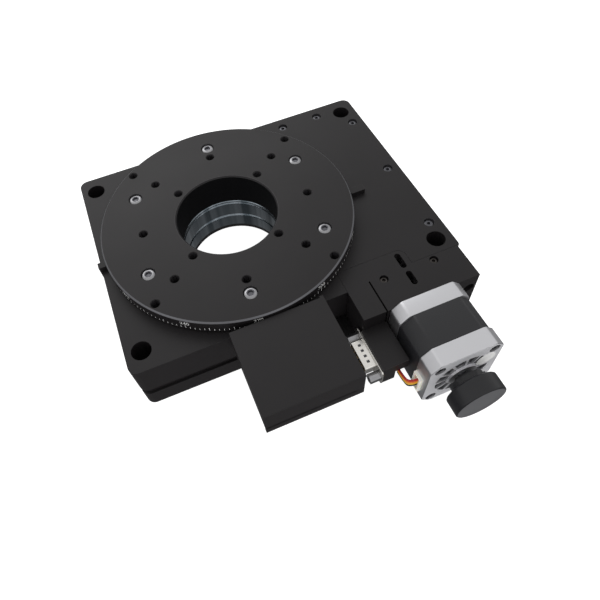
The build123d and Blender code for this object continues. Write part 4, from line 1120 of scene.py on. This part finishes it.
# %% [markdown]
# ## Screws of the housing and the block
# The housing's screws sit in shallow wells, where each shows as a worn ring round a dark
# socket. The two screws of the motor block sit deep in their holes, and their heads are painted
# nearly black as painted shade, so only a glint gives them away. Both are the same spun head with other
# numbers.

# %% Countersunk and sunk screws
SCREW_SINK = 1.1
housing_places = [standing(x, y, HOUSING_TOP - SCREW_SINK) for x, y in well_spots]
screw_group(
    "countersunk_screws", "housing_screws", housing_places, "socket_shade_and_worn_screw", head_r=2.55, dome=0.25,
    rim_drop=0.3, across=2.0, depth=1.3, shank_r=1.5, shank_length=8.0, mouth=0.3)
block_top = top_mm("motor_block_screws")
block_places = [standing(x, y, block_top) for x, y in centres_of("motor_block_screws", 2)]
# the sunk heads take painted shade
screw_group(
    "block_screw_heads", "motor_block_screws", block_places, "painted_shade_screw", head_r=2.15, dome=0.4,
    rim_drop=2.4, across=2.0, depth=1.4, shank_r=1.5, shank_length=20.0, mouth=0.25)
print("housing screws:", len(housing_places), "block screws:", len(block_places))

# %% [markdown]
# ## The motor
# A stepper motor is a sandwich: a die-cast flange, a stack of steel sheets, and a die-cast
# rear cap, all with cut corners. Each is one outline carried along the motor's axis through a
# few stations, and the stations near the ends are a touch smaller. That gives soft edges
# without any bevel, and the same function serves for all three pieces.

# %% Motor flange, sheets and cap
MOTOR_HALF = 21.15
CORNER_CUT = 5.6
CORNER_ROUND = 1.2
SHEET_IN = 0.2
SHEET_CUT = 7.2
EDGE_ROUND = 0.5
SHEET_EDGE = 0.05
END_STEPS = 4
CAP_LENGTH = 10.5
BOLT_HALF = 15.5
BOLT_SEAT_R = 3.1
BOLT_SEAT_DEPTH = 3.0


def y_span(node):
    low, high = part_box(node)
    return low.y / MM, high.y / MM


def motor_outline(half, cut, corner_round):
    """Square section with cut corners, each corner rounded a little."""
    k = half - cut
    corners = [(k, half), (-k, half), (-half, k), (-half, -k), (-k, -half), (k, -half), (half, -k), (half, k)]
    return softened(corners, corner_round, 4)


def carried_along(name, outline, half, stations):
    """Closed body through copies of an outline, each with its place along Y and its inset."""
    bm = bmesh.new()
    rings = []
    for y, inset in stations:
        size = (half - inset) / half
        rings.append([bm.verts.new(Vector((MOTOR_X + x * size, y, MOTOR_Z + z * size)) * MM)
                      for x, z in outline])
    for here, there in zip(rings, rings[1:]):
        for i in range(len(outline)):
            j = (i + 1) % len(outline)
            bm.faces.new((here[i], here[j], there[j], there[i]))
    bm.faces.new(rings[0])
    bm.faces.new(rings[-1])
    close_up(bm)
    return link_mesh(name, bm)


def soft_ends(y0, y1, radius):
    """Stations for a body with rounded end edges."""
    quarter = [pi / 2 * k / END_STEPS for k in range(END_STEPS + 1)]
    bend = [(radius * (1 - sin(a)), radius * (1 - cos(a))) for a in quarter]
    front = [(y0 + out, inset) for inset, out in bend]
    back = [(y1 - out, inset) for inset, out in reversed(bend)]
    return front + back


sheets_y0, sheets_y1 = y_span("motor_stack")
flange_y1 = y_span("motor_block")[0]
cap_y0 = sheets_y0 - CAP_LENGTH
motor_parts = (
    ("motor_flange", "motor_front_flange", sheets_y1, flange_y1, MOTOR_HALF, CORNER_CUT, EDGE_ROUND),
    ("motor_sheets", "motor_stack", sheets_y0, sheets_y1, MOTOR_HALF - SHEET_IN, SHEET_CUT, SHEET_EDGE),
    ("motor_cap", "motor_rear_cap", cap_y0, sheets_y0, MOTOR_HALF, CORNER_CUT, EDGE_ROUND),
)
motor_pieces = {}
for name, node, y0, y1, half, cut, edge in motor_parts:
    piece = carried_along(name, motor_outline(half, cut, CORNER_ROUND), half, soft_ends(y0, y1, edge))
    motor_pieces[name] = piece
    place_piece(piece, node)
print("motor from", round(cap_y0, 1), "to", round(flange_y1, 1), "mm")

# %% [markdown]
# ## The back of the motor
# The rear cap is the piece that the camera looks down on. It has a ring-shaped pocket with
# radial ribs round the bearing boss, as die-cast caps have to save metal, and four deep seats
# for the long screws. The face gets painted light, a paler copy of the die-cast finish, and the
# floors of its pockets and seats get painted shade, so each gets its own finish.

# %% Rear pockets, ribs and seats
POCKET_IN = 9.2
POCKET_OUT = 15.6
POCKET_DEPTH = 0.9
RIB_COUNT = 12
RIB_HALF_DEG = 3.0
ARC_STEPS = 6
FACE_DEPTH = 0.5
pocket = bmesh.new()
for k in range(RIB_COUNT):
    start = 2 * pi * k / RIB_COUNT + radians(RIB_HALF_DEG)
    sweep = 2 * pi / RIB_COUNT - 2 * radians(RIB_HALF_DEG)
    low, high = [], []
    angles = [start + sweep * t / ARC_STEPS for t in range(ARC_STEPS + 1)]
    arc = [(POCKET_OUT, a) for a in angles] + [(POCKET_IN, a) for a in reversed(angles)]
    for r, a in arc:
        x, z = MOTOR_X + r * cos(a), MOTOR_Z + r * sin(a)
        low.append(pocket.verts.new(Vector((x, cap_y0 - OVERSHOOT, z)) * MM))
        high.append(pocket.verts.new(Vector((x, cap_y0 + POCKET_DEPTH, z)) * MM))
    pocket.faces.new(low)
    pocket.faces.new(high)
    for i in range(len(low)):
        j = (i + 1) % len(low)
        pocket.faces.new((low[i], low[j], high[j], high[i]))
bolt_spots = [(sx * BOLT_HALF, sz * BOLT_HALF) for sx in (-1, 1) for sz in (-1, 1)]
seat = [(0, -OVERSHOOT), (BOLT_SEAT_R, -OVERSHOOT), (BOLT_SEAT_R, BOLT_SEAT_DEPTH), (0, BOLT_SEAT_DEPTH)]
for x, z in bolt_spots:
    spun(pocket, seat, HOLE_STEPS, along_motor(cap_y0, x, z))
conn_low, conn_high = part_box("lead_connector")
add_box(pocket, (conn_low + conn_high) / 2, conn_high - conn_low)
close_up(pocket)
cut_away(motor_pieces["motor_cap"], pocket)
even_shading(motor_pieces["motor_cap"])


def cap_slot(face):
    """1 for the rear face (painted light), 2 for the floors of its pockets and seats (painted shade), 0 for
    the sides.
    """
    if face.normal.y >= -FACES_IT:
        return 0
    return 1 if face.center.y / MM < cap_y0 + FACE_DEPTH else 2


mark_faces(motor_pieces["motor_cap"], ("cap_face_painted_light", "painted_recess_shade"), cap_slot)
print("ribs:", RIB_COUNT, "seats:", len(bolt_spots))

# %% [markdown]
# The boss, the four long screws and the sticker come on top. The sticker is a plain paper
# disc beside the boss, and it stays bare.

# %% Boss, screws and sticker
BOLT_BELOW = 0.6
BOSS_IN_R = 4.2
BOSS_R = 8.0
BOSS_HEIGHT = 1.0
BOSS_ROOT = 0.4
boss_profile = [(BOSS_IN_R, BOSS_ROOT), (BOSS_IN_R, -BOSS_HEIGHT),
                (BOSS_R, -BOSS_HEIGHT), (BOSS_R, BOSS_ROOT)]
boss = turned_piece("motor_boss", softened(boss_profile, 0.3, 3), 96, along_motor(cap_y0))
place_piece(boss, "motor_rear_cap", instead=False)

rear_bolts = [standing(MOTOR_X + x, cap_y0 + BOLT_BELOW, MOTOR_Z + z) @ Matrix.Rotation(pi / 2, 4, "X")
              for x, z in bolt_spots]
screw_group(
    "motor_bolt_heads", "motor_through_bolts", rear_bolts, head_r=2.75, dome=0.3, rim_drop=2.0,
    across=2.5, depth=1.6, shank_r=1.5, shank_length=35.0, mouth=0.25)

STICKER_R = 5.6
STICKER_X = 12.6
STICKER_Z = 6.6
STICKER_T = 0.12
disc = [(0, 0), (STICKER_R, 0), (STICKER_R, STICKER_T), (0, STICKER_T)]
sticker = turned_piece("round_sticker", disc, 64, along_motor(cap_y0 - STICKER_T, STICKER_X, STICKER_Z))
place_piece(sticker, "motor_rear_cap", "sticker_paper", instead=False)
print("screws at the motor's rear:", len(rear_bolts))

# %% [markdown]
# ## The hand knob
# The knob is turned from one bar: a wide grip, a stepped hub and a nose. All three are one
# profile, softened a little at every corner, so the light draws a thin line on each step. Its
# front face is very slightly dished, as a facing cut leaves it, and it gets a painted reflection
# that makes it paler than the grip, so the faces inside the rim take a finish of their own.

# %% Knob
knob_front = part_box("hand_knob")[0].y / MM
knob_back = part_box("hand_knob")[1].y / MM
KNOB_R = 14.2
GRIP_T = 10.0
KNOB_HUB_R = 9.3
KNOB_HUB_T = 4.3
KNOB_NOSE_R = 5.5
KNOB_CHAMFER = 0.6
DISH = 0.35
DISH_FLOOR_R = 11.0
DISH_R = 12.4
RIM_ZONE = 0.7
FACE_ZONE = 1.0
hub_end = GRIP_T + KNOB_HUB_T
nose_end = knob_back - knob_front
knob_profile = [
    (0.0, DISH), (DISH_FLOOR_R, DISH), (DISH_R, 0.0), (KNOB_R - KNOB_CHAMFER, 0.0), (KNOB_R, KNOB_CHAMFER),
    (KNOB_R, GRIP_T - KNOB_CHAMFER), (KNOB_R - KNOB_CHAMFER, GRIP_T), (KNOB_HUB_R, GRIP_T),
    (KNOB_HUB_R, hub_end), (KNOB_NOSE_R, hub_end), (KNOB_NOSE_R, nose_end), (0.0, nose_end),
]
knob = turned_piece("knob_body", knob_profile, 160, along_motor(knob_front))
break_edges(knob, 0.25, 3)
place_piece(knob, "hand_knob")


def knob_slot(face):
    """1 for the front face inside its chamfer, which takes the painted reflection, 0 for the rest."""
    from_axis = hypot(face.center.x / MM - MOTOR_X, face.center.z / MM - MOTOR_Z)
    at_front = face.normal.y < -FACES_IT and face.center.y / MM < knob_front + FACE_ZONE
    return 1 if at_front and from_axis < KNOB_R - RIM_ZONE else 0


mark_faces(knob, ("knob_face_painted_reflection",), knob_slot)
print("knob", round(nose_end, 1), "mm long")

# %% [markdown]
# ## Connector
# The nine-way connector is the brightest thing on the stage, so its parts are dressed one by
# one: the pressed shell keeps its solid and gets rolled edges, the pins get round tips, and
# the hexagonal posts get chamfers. Four shallow dimples are cut into the top of the shell,
# as the press leaves them, and the open end of shell and posts is drawn out a little by
# moving only the points at that end.

# %% Shell, insert and posts
SHELL_LONGER = 1.2
DIMPLE = 1.5
DIMPLE_DEPTH = 0.3
DIMPLE_PITCH = 3.4
DIMPLE_COUNT = 4
DIMPLE_IN = 2.2
FLOOR_MARGIN = 1.2
LEVEL_WITHIN = 0.1
END_ZONE = 1.0
shell_low, shell_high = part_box("dsub_shell")
shell_points = [v.co / MM for v in frame["nodes"]["dsub_shell"].data.vertices]
mouth_top = max(p.z for p in shell_points if p.x < shell_low.x / MM + END_ZONE)
dimples = bmesh.new()
for k in range(DIMPLE_COUNT):
    y = (shell_low.y + shell_high.y) / 2 / MM + (k - (DIMPLE_COUNT - 1) / 2) * DIMPLE_PITCH
    middle = Vector((shell_low.x / MM + DIMPLE_IN, y, mouth_top)) * MM
    add_box(dimples, middle, (DIMPLE * MM, DIMPLE * MM, 2 * DIMPLE_DEPTH * MM))
close_up(dimples)


def drawn_out(piece, by_mm):
    """Moves the open end of a piece outwards, and leaves its foot where it is."""
    end = min(v.co.x for v in piece.data.vertices) + END_ZONE * MM
    for v in piece.data.vertices:
        if v.co.x < end:
            v.co.x -= by_mm * MM
    piece.data.update()


def shell_slot(face):
    """1 for the floor of a dimple, which takes painted shade, 0 for the rest."""
    low_by = mouth_top - face.center.z / MM
    small = face.area < (DIMPLE * MM) ** 2 * FLOOR_MARGIN
    level = face.normal.z > FACES_IT and abs(low_by - DIMPLE_DEPTH) < LEVEL_WITHIN
    return 1 if small and level else 0


shell = dressed("dsub_shell", 0.14, 3, removed=(dimples,))
# the dimple floors get painted shade
mark_faces(shell, ("painted_recess_shade",), shell_slot)
drawn_out(shell, SHELL_LONGER)
drawn_out(dressed("dsub_jackscrews", 0.3, 3), SHELL_LONGER)
for node, width in (("dsub_insert", 0.12), ("lead_connector", 0.2)):
    dressed(node, width, 3)
print("shell's mouth at z", round(mouth_top, 2), "mm, dimples", DIMPLE_COUNT)

# %% [markdown]
# The nine contact pins are spun in one mesh, five in the upper row and four below, half a
# pitch apart. A tip with three small steps is enough to look round at this size.

# %% Contact pins
pin_low, pin_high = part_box("dsub_pins")
PIN_R = 0.5
PIN_PITCH = 2.77
PIN_ROWS = 2.84
PIN_STEPS = 20
pin_long = (pin_high.x - pin_low.x) / MM
pin_middle_y = (pin_low.y + pin_high.y) / 2 / MM
pin_middle_z = (pin_low.z + pin_high.z) / 2 / MM
pins = bmesh.new()
pin_profile = [(0, 0), (0.25, 0.0), (0.42, 0.18), (PIN_R, 0.5), (PIN_R, pin_long), (0, pin_long)]
for count, rise in ((5, PIN_ROWS / 2), (4, -PIN_ROWS / 2)):
    for k in range(count):
        y = pin_middle_y + (k - (count - 1) / 2) * PIN_PITCH
        place = standing(pin_low.x / MM, y, pin_middle_z + rise)
        spun(pins, pin_profile, PIN_STEPS, place @ Matrix.Rotation(pi / 2, 4, "Y"))
close_up(pins)
place_piece(link_mesh("contact_pins", pins), "dsub_pins")
print("pins 9, each", round(pin_long, 1), "mm")

# %% [markdown]
# ## Motor leads
# Four thin leads come out of the white housing at the motor's rear, make a short loop and go
# into the notch of the bracket. Each is one smooth curve through four control points, placed
# from the boxes of the lead housing and the bracket. The curve is given a round section, so
# bending it later is a matter of moving four points. Each lead has its own colour.

# %% Leads
LEAD_R = 0.55
LEAD_ENDS_Z = 14.6
LEAD_SPREAD = 1.3
LEAD_IN_Y = 1.5
LEAD_IN_X = 52.4
LEAD_FIRST = 3.0
LEAD_PITCH = 2.0
bracket_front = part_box("connector_bracket")[0].y / MM
conn_x = conn_low.x / MM
conn_y = (conn_low.y + conn_high.y) / 2 / MM


def lead_points(k):
    """Four control points: inside the housing, just out of it, the loop, and in the bracket."""
    z = conn_low.z / MM + LEAD_FIRST + LEAD_PITCH * k
    return [
        Vector((conn_x + 1.6, conn_y, z)),
        Vector((conn_x - 2.6, conn_y, z)),
        Vector((conn_x - 3.9 - 0.3 * k, conn_y + 3.2, z - 0.8)),
        Vector((LEAD_IN_X, bracket_front + LEAD_IN_Y, LEAD_ENDS_Z + LEAD_SPREAD * k)),
    ]


for k, colour in enumerate(LEAD_COLOURS):
    line = bpy.data.curves.new("lead_" + colour, "CURVE")
    line.dimensions = "3D"
    line.bevel_depth = LEAD_R * MM
    line.bevel_resolution = 6
    line.resolution_u = 16
    line.use_fill_caps = True
    spline = line.splines.new("NURBS")
    points = lead_points(k)
    spline.points.add(len(points) - 1)
    for at, point in zip(spline.points, points):
        at.co = (*(point * MM), 1.0)
    spline.order_u = 3
    spline.use_endpoint_u = True
    lead = bpy.data.objects.new("lead_" + colour, line)
    scene.collection.objects.link(lead)
    place_piece(lead, "motor_leads", "lead_" + colour)
    print("lead", colour, "over", len(points), "points,", round(spline.calc_length() / MM, 1), "mm")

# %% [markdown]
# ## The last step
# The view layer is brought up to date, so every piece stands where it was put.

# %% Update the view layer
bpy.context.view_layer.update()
